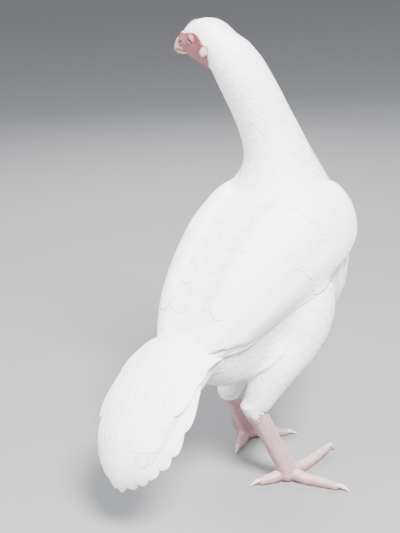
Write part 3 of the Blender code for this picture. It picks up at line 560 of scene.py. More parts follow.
class Coat:
    """Feathers of one piece of the coat, each a grid of points from root to tip."""

    def __init__(self):
        self.feathers = []

    def add(self, grid, facing, place):
        """A feather's points, the way they look, and its root's place on the flat unwrap."""
        row, column = grid.shape[0] // 2, grid.shape[1] // 2
        along, across = grid[row + 1, column] - grid[row, column], grid[row, column + 1] - grid[row, column]
        if np.cross(across, along).dot(facing[row, column]) < 0:
            grid, facing = grid[:, ::-1], facing[:, ::-1]
        self.feathers.append((grid, facing, place, RANDOM.random()))

    def build(self, name, material):
        grids, facings, places, tints = (np.array(part) for part in zip(*self.feathers))
        count, rows, columns = grids.shape[:3]
        size = rows * columns
        faces = (grid_faces(rows, columns) + np.arange(count)[:, None, None] * size).reshape(-1, 4)
        obj = mesh_piece(name, grids, faces, material)
        along, across = np.meshgrid(np.linspace(0, 1, rows), np.linspace(-1, 1, columns), indexing="ij")
        owner, corner = np.divmod(faces.ravel(), size)
        along, across = along.ravel()[corner], across.ravel()[corner]
        vane = obj.data.uv_layers.new(name="vane")
        vane.data.foreach_set("uv", np.stack([across, along], 1).ravel())
        bake = obj.data.uv_layers.new(name="OFBake")
        patch = np.stack([across * 0.5, along - 0.5], 1) * BAKE_PATCH
        bake.data.foreach_set("uv", (np.clip(places[owner], 0.01, 0.99) + patch).ravel())
        tint = obj.data.attributes.new("tint", "FLOAT", "POINT")
        tint.data.foreach_set("value", np.repeat(tints, size))
        own = np.empty(count * size * 3)
        obj.data.vertices.foreach_get("normal", own)
        soft = facings.reshape(-1, 3) * COAT_SOFTNESS + own.reshape(-1, 3) * (1 - COAT_SOFTNESS)
        obj.data.normals_split_custom_set_from_vertices(unit(soft).tolist())


class Surface:
    """A closed mesh that feathers follow: places, smooth normals and the lie of the coat."""

    def __init__(self, points, faces):
        self.points = np.array(points)
        self.faces = np.array(faces)
        a, b, c = (self.points[self.faces[:, i]] for i in range(3))
        self.area = np.linalg.norm(np.cross(b - a, c - a), axis=1) / 2
        self.point_normals = point_normals(self.points, self.faces)
        self.normals = unit(self.point_normals[self.faces].sum(1))
        self.centres = (a + b + c) / 3
        self.tree = BVHTree.FromPolygons(
            [Vector(p) for p in self.points], [tuple(map(int, f)) for f in self.faces], all_triangles=True
        )

    def set_flow(self, guides):
        """The lie at each face from guides of place, direction and reach."""
        total = np.zeros_like(self.centres)
        for place, direction, reach in guides:
            gap = self.centres - np.array(place)
            weight = 1 / (1e-9 + ((gap**2).sum(1) + (0.3 * reach) ** 2) / reach**2) ** 3
            total += weight[:, None] * np.array(direction)
        total -= self.normals * (total * self.normals).sum(1, keepdims=True)
        self.flow = unit(total)

    def thickness(self):
        """How thick the body is under each face, at most FELT_DEPTH."""
        depth = np.full(len(self.faces), FELT_DEPTH)
        for i, (centre, normal) in enumerate(zip(self.centres, self.normals)):
            inward = Vector(-normal)
            hit = self.tree.ray_cast(Vector(centre) + inward * 0.0002, inward, FELT_DEPTH)
            if hit[3] is not None:
                depth[i] = hit[3]
        return depth

    def snap(self, place):
        """The nearest place on the surface, the normal there and its face."""
        near, _, index, _ = self.tree.find_nearest(Vector(place))
        return np.array(near), self.normals[index], index


def scatter(surface, keep, spacing):
    """Seeded places over the faces that keep allows, no closer than the spacing at each."""
    chosen = np.nonzero(keep)[0]
    area = surface.area[chosen]
    wanted = int((area / spacing[chosen] ** 2).sum() * SCATTER_TRIES)
    picks = chosen[RANDOM.choice(len(chosen), wanted, p=area / area.sum())]
    mix = RANDOM.random((wanted, 2))
    flip = mix.sum(1) > 1
    mix[flip] = 1 - mix[flip]
    a, b, c = (surface.points[surface.faces[picks, i]] for i in range(3))
    places = a + (b - a) * mix[:, :1] + (c - a) * mix[:, 1:]
    cells = (places // float(spacing[chosen].max())).astype(int).tolist()
    room = spacing[picks] ** 2
    taken = {}
    kept = []
    for i, (x, y, z) in enumerate(places.tolist()):
        around = itertools.product(*((cell - 1, cell, cell + 1) for cell in cells[i]))
        near = (place for cell in around for place in taken.get(cell, ()))
        if all((x - p) ** 2 + (y - q) ** 2 + (z - r) ** 2 >= room[i] for p, q, r in near):
            taken.setdefault(tuple(cells[i]), []).append((x, y, z))
            kept.append(i)
    return places[kept], picks[kept]


def vane_width(along, tip):
    """How wide a vane is along its length, with a narrow root and a round end."""
    root = np.clip(along / 0.22, 0, 1) ** 0.7
    end = np.sqrt(np.clip(1 - (np.clip(along - tip, 0, 1) / (1 - tip + 0.012)) ** 2.2, 0, 1))
    return (0.25 + 0.75 * root) * end


def lay_feather(surface, place, index, length, half_width, depth, lift, yaw, tip):
    """A grid that walks along the lie from its root in the skin, flush with the coat at its tip."""
    grid = np.zeros((VANE_ROWS, VANE_COLUMNS, 3))
    facing = np.zeros_like(grid)
    at, normal = np.array(place), surface.normals[index]
    widths = vane_width(VANE_ALONG, tip) * half_width
    steps = np.append(np.diff(VANE_ALONG), 0) * length
    for row, along in enumerate(VANE_ALONG):
        lie = surface.flow[index]
        lie = lie * math.cos(yaw) + np.cross(normal, lie) * math.sin(yaw)
        side = np.cross(normal, lie)
        dip = 0.06 * half_width * max(along - 0.8, 0) / 0.2
        height = -depth * (1 - along) ** 2 + lift * along - dip
        for column, across in enumerate(VANE_ACROSS):
            low = height - VANE_CAMBER * half_width * across * across * (1 - 0.5 * along)
            near, out = at, normal
            if across != 0:
                near, out, _ = surface.snap(at + side * (widths[row] * across))
            grid[row, column] = near + out * low
            facing[row, column] = out
        at, normal, index = surface.snap(at + lie * steps[row])
    return grid, facing


def oval_grid(stations, places, sides):
    """Rings across the head frame: forward, left and up of every point, all in metres."""
    turn = np.linspace(0, math.tau, sides, endpoint=False)
    rows = []
    for place in places:
        height, half_width, rise, drop = smooth_table(stations, place)
        up = np.where(np.cos(turn) > 0, rise, drop) * np.cos(turn)
        rows.append(np.stack([np.full(sides, place), half_width * np.sin(turn), height + up], 1))
    return np.array(rows)


def grid_normals(grid):
    """Outward normals of a grid of closed rings."""
    around = np.roll(grid, -1, 1) - np.roll(grid, 1, 1)
    along = np.gradient(grid, axis=0)
    normal = unit(np.cross(around, along))
    middle = grid.mean(1, keepdims=True)
    flip = np.sign(((grid - middle) * normal).sum(-1).mean())
    return normal * (flip or 1)


def ripple(points, size, seed):
    """Smooth noise about -1 to 1 over points: waves of a size in seeded directions."""
    waves = np.random.default_rng(seed)
    total = np.zeros(points.shape[:-1])
    for _ in range(7):
        direction = unit(waves.normal(size=3))
        length = size * waves.uniform(0.7, 1.5)
        total += np.sin(points @ direction * math.tau / length + waves.uniform(0, math.tau))
    return total / 3.2


def hill(f, u, centre, reach):
    """1 at a centre on the head's side, falling off over its reach forward and up."""
    return np.exp(-(((f - centre[0]) / reach[0]) ** 2 + ((u - centre[1]) / reach[1]) ** 2))


def bell(distance, width):
    """1 at no distance, falling off over the width."""
    return np.exp(-((distance / width) ** 2))


def segment_distance(f, u, a, b):
    """How far places on the head's side are from the line between two."""
    ax, ay = a
    bx, by = b
    span = (bx - ax) ** 2 + (by - ay) ** 2
    t = np.clip(((f - ax) * (bx - ax) + (u - ay) * (by - ay)) / span, 0, 1)
    return np.hypot(f - ax - t * (bx - ax), u - ay - t * (by - ay))


def line_distance(f, u, line):
    return np.min([segment_distance(f, u, a, b) for a, b in zip(line, line[1:])], axis=0)


def bare_depth(f, u):
    """Millimetres inside the bare face, negative where she is feathered."""
    inside = np.zeros(np.shape(f), bool)
    edge = list(zip(BARE_FACE, BARE_FACE[1:] + BARE_FACE[:1]))
    for (ax, ay), (bx, by) in edge:
        crosses = (ay > u) != (by > u)
        with np.errstate(divide="ignore", invalid="ignore"):
            at = ax + (u - ay) * (bx - ax) / (by - ay if by != ay else 1e-9)
        inside ^= crosses & (f < at)
    far = np.min([segment_distance(f, u, a, b) for a, b in edge], axis=0)
    return np.where(inside, far, -far)


def head_frame(points):
    """Forward, left and up on the head in millimetres for places measured from the feet."""
    axes = np.array([list(axis) for axis in head_axes()])
    return (np.asarray(points) - np.array(HEAD_CENTRE)) @ axes.T * 1000


def from_head(local):
    """Places measured from the feet for forward, left and up on the head in metres."""
    axes = np.array([list(axis) for axis in head_axes()])
    return np.array(HEAD_CENTRE) + np.asarray(local) @ axes


def skin_colour(f, u, wave):
    """The face's colour: red behind the eye, pink before it, paler on the bill's base and jaw, with painted
    shade darkening the jaw's underside.
    """
    colour = np.zeros((*np.shape(f), 3)) + np.array(FACE_COLOUR)
    for centre, reach, hue, share in FACE_TINTS:
        weight = np.clip(hill(f, u, centre, reach) * share, 0, 1)[..., None]
        colour = blend((colour, hue), weight)
    return colour * FACE_DEPTH_OF_COLOUR * (1 + 0.10 * wave[..., None])


def tint_points(obj, colours):
    """A colour for every point of a mesh, read by its material."""
    colours = np.reshape(colours, (-1, 3))
    layer = obj.data.attributes.new("skin_colour", "FLOAT_COLOR", "POINT")
    alpha = np.ones((len(colours), 1))
    layer.data.foreach_set("color", np.hstack([colours, alpha]).ravel())


def face_relief(grid, f, l, u, bare, slit, gape, wave):
    """How far the head's skin stands out in millimetres, at forward, left and up on it."""
    brow = u - (12.0 - 0.03 * (f - 3) ** 2)
    rise = 1.25 * bell(brow, 2.4) * bell(f - 3, 10)
    for centre, reach, height in FACE_HILLS:
        rise += height * hill(f, u, centre, reach)
    rise -= 1.7 * bell(slit, 0.62)
    rise += -1.1 * bell(gape, 0.6) + 0.45 * bell(gape - 1.7, 0.9)
    throat = np.clip((-(u + 0.45 * f) - 9.0) / 4.0, 0, 1) * np.clip((16 - f) / 6, 0, 1)
    rise += throat * 0.20 * np.sin((u + 0.62 * f) * math.tau / 5.2 + 2.2 * ripple(grid, 0.013, 5))
    rise += throat * 0.12 * ripple(grid * np.array((0.6, 1, 1.3)), 0.0042, 9)
    behind_eye = np.clip(1 - np.hypot((f + 7) / 9, (u - 2) / 8), 0, 1)
    rise += behind_eye * 0.24 * np.sin(np.arctan2(u - 3, f - 5) * 26 + 1.5 * ripple(grid, 0.008, 6))
    rise = rise * np.clip((np.abs(l) - 5) / 5, 0, 1) + 0.10 * wave + 0.13 * ripple(grid, 0.0062, 8)
    return rise * bare - FACE_SINK * (1 - bare)


def face(material):
    """Head skin with eye sockets, brows, nostrils, gape, jaw folds and wrinkles."""
    first, last = HEAD_STATIONS[0][0], HEAD_STATIONS[-1][0]
    s = np.linspace(0, 1, FACE_RINGS)
    places = first + (last - first) * (s + 0.06 * np.sin(math.tau * s) / math.tau)
    grid = oval_grid(HEAD_STATIONS, places, FACE_SIDES)
    normal = grid_normals(grid)
    f, l, u = (grid[..., i] * 1000 for i in range(3))
    bare = np.clip(bare_depth(f, u) / 2.0 + 0.3, 0, 1)
    slit, gape = line_distance(f, u, NOSTRIL_SLIT), line_distance(f, u, GAPE)
    wave = ripple(grid, 0.0032, 7)
    grid = grid + normal * (face_relief(grid, f, l, u, bare, slit, gape, wave) * 0.001)[..., None]
    points, faces, caps = closed_tube(grid, nose=0.001)
    obj = mesh_piece("face", from_head(points), faces, material, caps=caps)
    colours = blend((FEATHERED_COLOUR, skin_colour(f, u, wave)), bare[..., None])
    # Painted shade: the face's colour is darkened in the nostril's slit and along the gape, on its sides.
    slit_and_gape_shade = 0.75 * bell(slit, 0.55) + 0.55 * bell(gape, 0.45)
    aside = np.clip((np.abs(l) - 5) / 5, 0, 1)
    colours = colours * (1 - np.clip(slit_and_gape_shade * aside, 0, 0.9)[..., None])
    tint_points(obj, np.concatenate([colours.reshape(-1, 3), colours[0, :1], colours[-1, :1]]))


def eye_axes(side):
    """Outward, along the slit towards the nape, and across it upwards, for one eye."""
    out = unit(np.array((0.16, side, 0.06)))
    slope = math.radians(EYE_SLOPE)
    along = np.array((-math.cos(slope), 0, -math.sin(slope)))
    along = unit(along - out * along.dot(out))
    across = np.cross(out, along)
    return out, along, across if across[2] > 0 else -across


def on_eye(side, theta, phi, radius):
    """Places over an eyeball at angles along and across the slit."""
    out, along, across = eye_axes(side)
    way = (
        np.cos(theta)[..., None] * np.cos(phi)[..., None] * out
        + np.sin(theta)[..., None] * np.cos(phi)[..., None] * along
        + np.sin(phi)[..., None] * across
    )
    centre = np.array((EYE[0], side * EYE[1], EYE[2]))
    return centre + way * np.asarray(radius)[..., None]


def lids(side, material):
    """Both eyelids of an eye: a rolled rim round an almond opening, with fine wrinkles."""
    turn = np.linspace(0, math.tau, LID_AROUND, endpoint=False)
    rise = np.sin(turn)
    margin_u = np.where(rise > 0, LID_OPEN[1], LID_OPEN[2]) * np.abs(rise) ** 1.15 * np.sign(rise)
    margin_t = LID_OPEN[0] * np.cos(turn)
    outer_t, outer_u = LID_REACH[0] * np.cos(turn), LID_REACH[1] * rise
    steps = np.concatenate([[-0.16, -0.10, -0.04], np.linspace(0.0, 1.0, LID_ACROSS)])
    grid = []
    for s in steps:
        mix = max(s, 0)
        theta = np.radians(margin_t + (outer_t - margin_t) * mix)
        phi = np.radians(margin_u + (outer_u - margin_u) * mix)
        radius = LID_RADIUS + LID_SWELL * math.sin(mix * math.pi) + LID_RIM * bell(s - 0.07, 0.075)
        radius += LID_CREASE * math.sin(s * 24) * bell(s - 0.5, 0.3) - LID_DIP * max(-s, 0)
        radius += LID_WRINKLES * np.sin(turn * 22 + s * 5) * np.clip(s * 4, 0, 1)
        radius -= LID_SINK * max(s - 0.6, 0) ** 1.3
        grid.append(on_eye(side, theta, phi, radius * 0.001))
    faces = ring_faces(len(steps), LID_AROUND)
    obj = mesh_piece("eyelids_" + SIDES[side], from_head(np.array(grid)), faces, material)
    # The rim and the dip into the eye are painted dark as shade in the slit, lightening out over the lid.
    share = np.repeat(np.clip(steps, 0, 1), LID_AROUND)[:, None]
    tint_points(obj, blend((RIM_SHADE_COLOUR, LID_COLOUR), share**0.45))


def ball_way(rows, columns, margin=0.0):
    """Angles of rings over a ball, and the ways there: out, along and across."""
    polar = np.linspace(margin, math.pi - margin, rows)[:, None]
    turn = np.linspace(0, math.tau, columns, endpoint=False)[None]
    wide = np.sin(polar)
    return polar, np.cos(polar) * np.ones_like(turn), wide * np.cos(turn), wide * np.sin(turn)


def eye(side, material):
    """An eyeball with its pupil and iris, and a cornea that stands a little proud."""
    rows, columns = 40, 56
    polar, *ways = ball_way(rows, columns)
    way = sum(share[..., None] * axis for share, axis in zip(ways, eye_axes(side)))
    radius = EYE_RADIUS - 0.0001 + 0.0003 * bell(polar, 0.6)
    grid = np.array((EYE[0], side * EYE[1], EYE[2])) + way * radius[..., None]
    name = SIDES[side]
    faces = ring_faces(rows, columns)
    obj = mesh_piece("eyeball_" + name, from_head(grid), faces, material, ("eye_" + name,))
    angle = np.repeat(np.degrees(polar), columns)
    colours = np.zeros((len(angle), 3))
    for limit, hue in EYE_COLOURS:
        colours[angle < limit] = hue
    tint_points(obj, colours)


def lobe(side, material):
    """An ear lobe: a soft oval cushion with shallow wrinkles."""
    rows, columns = 44, 60
    _, l, f, u = ball_way(rows, columns, 0.02)
    ball = np.stack([f, l, u], -1)
    swell = 1 + 0.022 * ripple(ball, 1.3, 20) + 0.016 * np.sin(6.5 * u + 2.0 * f + ripple(ball, 1.2, 21))
    narrow = 1 - 0.22 * np.clip(u, 0, 1)
    grid = np.stack([
        LOBE[0] + LOBE_SIZE[0] * f * swell * narrow,
        side * (LOBE[1] + LOBE_SIZE[1] * l * swell),
        LOBE[2] + LOBE_SIZE[2] * u * swell - 0.0007 * f,
    ], -1)
    name = SIDES[side]
    faces = ring_faces(rows, columns)
    obj = mesh_piece("lobe_" + name, from_head(grid), faces, material, ("earlobe_" + name,))
    share = np.clip(0.5 + 0.5 * l - 0.15 * u + 0.12 * ripple(ball, 0.5, 22), 0, 1)
    tint_points(obj, blend(LOBE_COLOURS, share[..., None]))


def comb(material):
    """A low pea comb: three rows of small knobs on one soft ridge."""
    rows, columns = 64, 40
    s = np.linspace(0, 1, rows)[:, None]
    c = np.linspace(-1, 1, columns)[None]
    f = COMB_FRONT + (COMB_BACK - COMB_FRONT) * s
    shape = np.sqrt(np.clip(1 - (2 * s - 1) ** 4, 0, 1)) * np.sqrt(np.clip(1 - c**4, 0, 1))
    knob = 0.5 + 0.5 * np.cos(s * math.tau * COMB_KNOBS + 0.5 * (np.abs(c) > 0.42)) * np.ones_like(c)
    ridge = bell(c, 0.30) + 0.62 * bell(np.abs(c) - 0.68, 0.22)
    flat, low, high = COMB_HEIGHTS
    height = (flat + (low + high * knob) * ridge) * shape
    half = COMB_HALF_WIDTH * (0.75 + 0.25 * np.sin(math.pi * s))
    top = []
    for i in range(rows):
        crown, half_width, rise, _ = smooth_table(HEAD_STATIONS, f[i, 0])
        across = np.clip(c[0] * half[i, 0] / half_width, -1, 1)
        surface = crown + rise * np.sqrt(1 - across**2) - 0.0006
        top.append(np.stack([np.full(columns, f[i, 0]), c[0] * half[i, 0], surface + height[i]], 1))
    top = np.array(top)
    top += 0.00012 * ripple(top, 0.0016, 31)[..., None]
    faces = grid_faces(rows, columns)
    obj = mesh_piece("pea_comb", from_head(top), faces, material, ("comb",))
    tint_points(obj, blend(COMB_COLOURS, np.clip(ridge * shape * knob, 0, 1)[..., None]))


def mandible(name, table, node, material, hollow, streak):
    """Half of the beak from rows of forward place, top, edge and half width, in millimetres."""
    rows, arc, under = 60, 33, 11
    turn = np.linspace(-math.pi / 2, math.pi / 2, arc)
    inner = np.linspace(1, -1, under + 2)[1:-1]
    grid = []
    for k in range(rows):
        f, top, edge, half_width, bulge = smooth_table(table, 1 - (1 - k / (rows - 1)) ** 1.5)
        side = half_width * np.sign(np.sin(turn)) * np.abs(np.sin(turn)) ** bulge
        over = edge + (top - edge) * np.abs(np.cos(turn)) ** 0.9
        below = edge + (top - edge) * hollow * (1 - inner**2)
        grid.append(np.stack([
            np.full(arc + under, f), np.append(side, inner * half_width * 0.92), np.append(over, below)
        ], 1))
    grid = np.array(grid)
    grid += ripple(grid * np.array((0.25, 1, 1)), 1.1, streak)[..., None] * 0.035
    points, faces, caps = closed_tube(grid)
    points, caps = np.delete(points, -2, 0), caps[len(caps) // 2:]
    caps = np.where(caps == len(points), len(points) - 1, caps)
    obj = mesh_piece(name, from_head(points * 0.001), faces, material, (node,), caps)
    ages = np.clip((points[:, :1] - 18) / 22, 0, 1)
    wave = ripple(points * np.array((0.15, 1, 1)), 1.6, streak + 1)[:, None]
    tint_points(obj, blend(BEAK_COLOURS, ages) * (1 + 0.07 * wave))


def run_lengths(places):
    """How far along a run of places each one is."""
    return np.concatenate([[0], np.cumsum(np.linalg.norm(np.diff(places, axis=0), axis=1))])


def smooth_run(spots, radii, count):
    """Centres and radii at even steps along a curve through a few spots."""
    spots = np.array([list(spot) for spot in spots], float)
    lengths = run_lengths(spots)
    table = [(a / lengths[-1], *spot, r) for a, spot, r in zip(lengths, spots, radii)]
    rows = np.array([smooth_table(table, k / (count - 1)) for k in range(count)])
    return rows[:, :3], rows[:, 3]


def run_axes(centres, top):
    """Along a run of centres, upwards to the top's side, and across."""
    along = unit(np.gradient(centres, axis=0))
    up = unit(top - along * (along @ top)[:, None])
    return along, up, np.cross(along, up)


def tube(centres, radii, top, sides, flat=1.0):
    """Rings round a run of centres, turned so that the first point of each faces top."""
    _, up, side = run_axes(centres, top)
    turn = np.linspace(0, math.tau, sides, endpoint=False)[None, :, None]
    ring = np.cos(turn) * up[:, None] * flat + np.sin(turn) * side[:, None]
    return centres[:, None] + ring * np.asarray(radii)[:, None, None]


def closed_tube(grid, nose=0.0):
    """Points, quads and caps of a tube with a centre point at each end, the last one drawn out."""
    rows, sides = grid.shape[:2]
    ends = [grid[0].mean(0), grid[-1].mean(0) + np.array((nose, 0, 0))]
    points = np.concatenate([grid.reshape(-1, 3), ends])
    j = np.arange(sides)
    k = (j + 1) % sides
    last = (rows - 1) * sides
    caps = np.concatenate([
        np.stack([k, j, np.full(sides, rows * sides)], 1),
        np.stack([last + j, last + k, np.full(sides, rows * sides + 1)], 1),
    ])
    return points, ring_faces(rows, sides), caps


def toe_way(toe, side):
    """The way a toe points over the floor."""
    turn = math.radians(TOES[toe][0][side])
    return np.array((math.sin(turn), -math.cos(turn), 0))


def limbs(side):
    """Runs of one leg: name, centres, radii and the way its plates face."""
    hock, joint = shank_ends(side)
    above = hock + unit(np.array((side * 0.0055, -0.0120, 0.0285))) * 0.006
    below = [hock + (joint - hock) * share + SHANK_BACK for share in (0, 0.2, 0.6)]
    spots = [above, *below, joint + (0, 0, -0.002)]
    runs = [("shank", *smooth_run(spots, SHANK_RADII, 90), np.array((0, -1.0, 0)))]
    floor_joint = joint * (1, 1, 0)
    up = np.array((0, 0, 1.0))
    for toe, (_, lengths, _, root, tip, heights) in TOES.items():
        ahead = toe_way(toe, side)
        length = lengths[side]
        spots = (
            floor_joint + up * (joint[2] - 0.003),
            floor_joint + ahead * 0.020 + up * (root - 0.0010),
            floor_joint + ahead * (0.5 * length + 0.010) + up * (0.5 * (root + tip) - 0.0008),
            floor_joint + ahead * length + up * heights[side],
        )
        radii = (root + 0.0008, root, 0.5 * (root + tip), tip * 0.82)
        runs.append((toe, *smooth_run(spots, radii, 60), up))
    return runs


def cell_dome(x, y, step):
    """Small rounded scales in offset rows over places x and y: 0 in the grooves, 1 on a crown."""
    row = np.floor(y / step)
    fx = np.abs(((x / step + 0.5 * (row % 2)) % 1) * 2 - 1)
    fy = np.abs(((y / step) % 1) * 2 - 1)
    return np.sqrt(np.clip(1 - fx**3, 0, 1) * np.clip(1 - fy**3, 0, 1))


def plate(s, across, pitch):
    """A row of overlapping plates: each rises to its lower edge and rounds off at its sides."""
    x = (s / pitch) % 1
    edge = np.clip((1 - x) / 0.10, 0, 1) ** 0.6
    return (0.30 + 0.70 * x) * edge * np.sqrt(np.clip(1 - np.abs(across) ** 5, 0, 1))


def scale_height(kind, s, angle, radius):
    """How far the skin stands out in millimetres, at a place and a turn from the plates' side."""
    turn = np.abs(np.degrees(angle))
    around = angle * radius + CELL_SHIFT
    along = s + CELL_SHIFT
    small = cell_dome(around, along, SMALL_SCALES[0]) * SMALL_SCALES[1]
    if kind == "shank":
        front, back = (
            plate(along + stagger * (angle > 0), (turn - middle) / half, pitch) * height
            for middle, half, pitch, stagger, height in (FRONT_PLATES, BACK_PLATES)
        )
        front_to, back_from = sum(FRONT_PLATES[:2]), BACK_PLATES[0] - BACK_PLATES[1]
        return np.where(turn < front_to, front, np.where(turn > back_from, back, small))
    half, pitch, height = TOE_PLATES
    front = plate(along, turn / half, pitch) * height
    pads = cell_dome(around, along, PAD_SCALES[0]) * PAD_SCALES[1]
    pads = pads + PADS[1] * np.cos(s * math.tau / PADS[0])
    return np.where(turn < half, front, np.where(turn > PADS_FROM, pads, small))


def leg(side, material):
    """The bare leg and foot: plates down the front and along the toes, small scales between."""
    runs = limbs(side)
    tubes = [tube(centres, radii, top, 40) for _, centres, radii, top in runs]
    half_width, half_height, drop = BALL
    _, up, back, left = ball_way(24, 40, 0.05)
    ball = np.stack([-left * half_width, -back * half_width, up * half_height - drop], -1)
    tubes.append(np.array(FOOT_JOINTS[side]) + ball)
    points, faces, start = [], [], 0
    for grid in tubes:
        p, quads, caps = closed_tube(grid)
        points.append(p)
        faces += (quads + start).tolist() + (caps + start).tolist()
        start += len(p)
    form = bpy.data.meshes.new("leg_form")
    form.from_pydata(np.concatenate(points).tolist(), [], faces)
    p, f = remeshed(form, LEG_VOXEL, 7)
    samples, sizes = (np.concatenate([run[k] for run in runs]) for k in (1, 2))
    firsts = np.cumsum([0] + [len(run[1]) for run in runs])
    nearest = (np.linalg.norm(p[:, None] - samples[None], axis=2) / sizes[None]).argmin(1)
    height = np.zeros(len(p))
    for (name, centres, radii, top), first, last in zip(runs, firsts, firsts[1:]):
        mine = (nearest >= first) & (nearest < last)
        index = nearest[mine] - first
        along, up, across = (axis[index] for axis in run_axes(centres, top))
        away = p[mine] - centres[index]
        s = (run_lengths(centres)[index] + (away * along).sum(1)) * 1000
        angle = np.arctan2((away * across).sum(1), (away * up).sum(1))
        height[mine] = scale_height(name, s, angle, radii[index] * 1000)
    wave = ripple(p, 0.0030, 40)
    out = p + point_normals(p, f) * ((height - GROOVE + 0.05 * wave) * 0.001)[:, None]
    out[:, 2] = np.maximum(out[:, 2], 0.00005)
    name = SIDES[side]
    obj = mesh_piece("leg_" + name, out, f, material, ("shank_" + name, "foot_" + name))
    # The feet are painted darker towards the floor.
    low = np.clip(1 - p[:, 2:] / FLOOR_DARKENING_TO, 0, 1)
    colours = blend(LEG_COLOURS, np.clip(height / 0.38, 0, 1)[:, None])
    colours = colours * (1 - 0.22 * low) * (1 + 0.06 * ripple(p, 0.012, 41)[:, None] + 0.04 * wave[:, None])
    tint_points(obj, colours)


def claws(side, material):
    """The four claws of a foot, curved and tapered, each flat beneath."""
    rows, sides = 30, 20
    joint = np.array(FOOT_JOINTS[side])
    up = np.array((0, 0, 1.0))
    for toe, (_, lengths, claw, _, _, heights) in TOES.items():
        ahead = toe_way(toe, side)
        start = np.array((joint[0], joint[1], heights[side] + 0.001)) + ahead * (lengths[side] - 0.003)
        end = np.array((start[0], start[1], 0.0009)) + ahead * (claw + 0.004)
        arch = start + ahead * (claw * 0.5) + up * 0.0012
        spots = (start, arch, start * 0.30 + end * 0.70 + up * 0.0017, end)
        grid = tube(*smooth_run(spots, CLAW_RADII, rows), up, sides, 0.88)
        grid += 0.00006 * ripple(grid * (1, 1, 2), 0.0022, 50)[..., None]
        grid[..., 2] = np.maximum(grid[..., 2], 0.0001)
        points, quads, caps = closed_tube(grid)
        name = toe + "_" + SIDES[side]
        obj = mesh_piece("nail_" + name, points, quads, material, ("claw_" + name,), caps)
        share = np.append(np.repeat(np.linspace(0, 1, rows), sides), [0, 1])[:, None]
        tint_points(obj, blend(CLAW_COLOURS, share))


def remeshed(mesh, voxel, smoothing):
    """Points and triangles of a fine, even remesh of a mesh's closed parts as one body."""
    obj = link(bpy.data.objects.new("form", mesh))
    remesh = obj.modifiers.new("remesh", "REMESH")
    remesh.mode = "VOXEL"
    remesh.voxel_size = voxel
    smooth = obj.modifiers.new("smooth", "SMOOTH")
    smooth.factor = 0.5
    smooth.iterations = smoothing
    graph = bpy.context.evaluated_depsgraph_get()
    made = bpy.data.meshes.new_from_object(obj.evaluated_get(graph))
    bpy.data.objects.remove(obj, do_unlink=True)
    arrays = mesh_arrays(made)
    bpy.data.meshes.remove(made)
    return arrays


def lap_flank(points, faces, side):
    """Points raised behind the line where the flank's coat laps over a thigh."""
    line = np.array(FLANK_LINE)
    if side == 1:
        mirror = np.array((-1.0, 1.0, 1.0))
        line = line * mirror + (np.array(HOCKS[1]) - np.array(HOCKS[-1]) * mirror) * 0.5
    steps = np.linspace(0, len(line) - 1, FLANK_STEPS)
    line = np.stack([np.interp(steps, np.arange(len(line)), line[:, axis]) for axis in range(3)], 1)
    normals = point_normals(points, faces)
    nearest = np.linalg.norm(points[:, None] - line, axis=2).argmin(0)
    line = points[nearest] * 0.5 + line * 0.5
    across = unit(np.cross(np.gradient(line, axis=0), normals[nearest]))
    across *= np.sign(across @ (0, 1.0, 0.6))[:, None]
    gaps = np.linalg.norm(points[:, None] - line, axis=2)
    place = gaps.argmin(1)
    behind = ((points - line[place]) * across[place]).sum(1)
    rise = np.interp(behind, *zip(*FLANK_SPREAD)) * (gaps.min(1) < FLANK_REACH)
    rise *= np.interp(place, (0, 12, 42, FLANK_STEPS - 1), (0, 1, 1, 0)) * FLANK_RISE
    return points + normals * rise[:, None]


def fill_notches(points, faces):
    """Points with narrow notches filled: one moves to its neighbours' middle where that is out."""
    edges = np.concatenate([faces[:, [0, 1]], faces[:, [1, 2]], faces[:, [2, 0]]])
    edges = np.concatenate([edges, edges[:, ::-1]])
    count = np.bincount(edges[:, 0], minlength=len(points))[:, None]
    for _ in range(NOTCH_ROUNDS):
        middle = np.zeros_like(points)
        for axis in range(3):
            middle[:, axis] = np.bincount(edges[:, 0], points[edges[:, 1], axis], len(points))
        move = middle / count - points
        out = (move * point_normals(points, faces)).sum(1, keepdims=True)
        points = points + np.where(out > 0, move, 0) * 0.9 + np.where(out <= 0, move, 0) * 0.12
    return points


def node_mesh(name):
    """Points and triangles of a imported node, measured from midway between the feet."""
    points, triangles = mesh_arrays(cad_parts[name].data)
    return points - np.array(SHIFT), triangles


def sleeve(side):
    """Points and triangles of the form that carries the coat down over the top of a shank."""
    hock, joint = shank_ends(side)
    spots = [hock + unit(joint - hock) * place + SHANK_BACK for place, _ in SLEEVE]
    centres, radii = smooth_run(spots, [radius for _, radius in SLEEVE], 24)
    points, quads, caps = closed_tube(tube(centres, radii, np.array((0, -1.0, 0)), 40))
    return points, np.concatenate([quads[:, [0, 1, 2]], quads[:, [0, 2, 3]], caps])


def coat_surface():
    """The hen's outer form, made one by a fine remesh, and the region that each face is in."""
    parts = [(name, node_mesh(name)) for name in FLESH]
    parts += [("thigh_" + SIDES[side], sleeve(side)) for side in (1, -1)]
    faces, labels, start = [], [], 0
    for name, (p, f) in parts:
        faces.append(f + start)
        start += len(p)
        labels += [name.split("_")[0]] * len(p)
    every = np.concatenate([p for _, (p, _) in parts])
    mesh = bpy.data.meshes.new("form")
    mesh.from_pydata(every.tolist(), [], np.concatenate(faces).tolist())
    p, f = remeshed(mesh, SKIN_VOXEL, 4)
    p = fill_notches(p, f)
    for side in (1, -1):
        p = lap_flank(p, f, side)
    surface = Surface(p, f)
    tree = kdtree.KDTree(len(every))
    for i, q in enumerate(every):
        tree.insert(q, i)
    tree.balance()
    region = np.array([labels[tree.find(q)[1]] for q in surface.centres])
    return surface, region


def interpolate(far, table):
    """A table's columns at each distance, on straight lines through its rows."""
    far_rows, *columns = np.array(table).T
    return np.stack([np.interp(far, far_rows, column) for column in columns], 1)


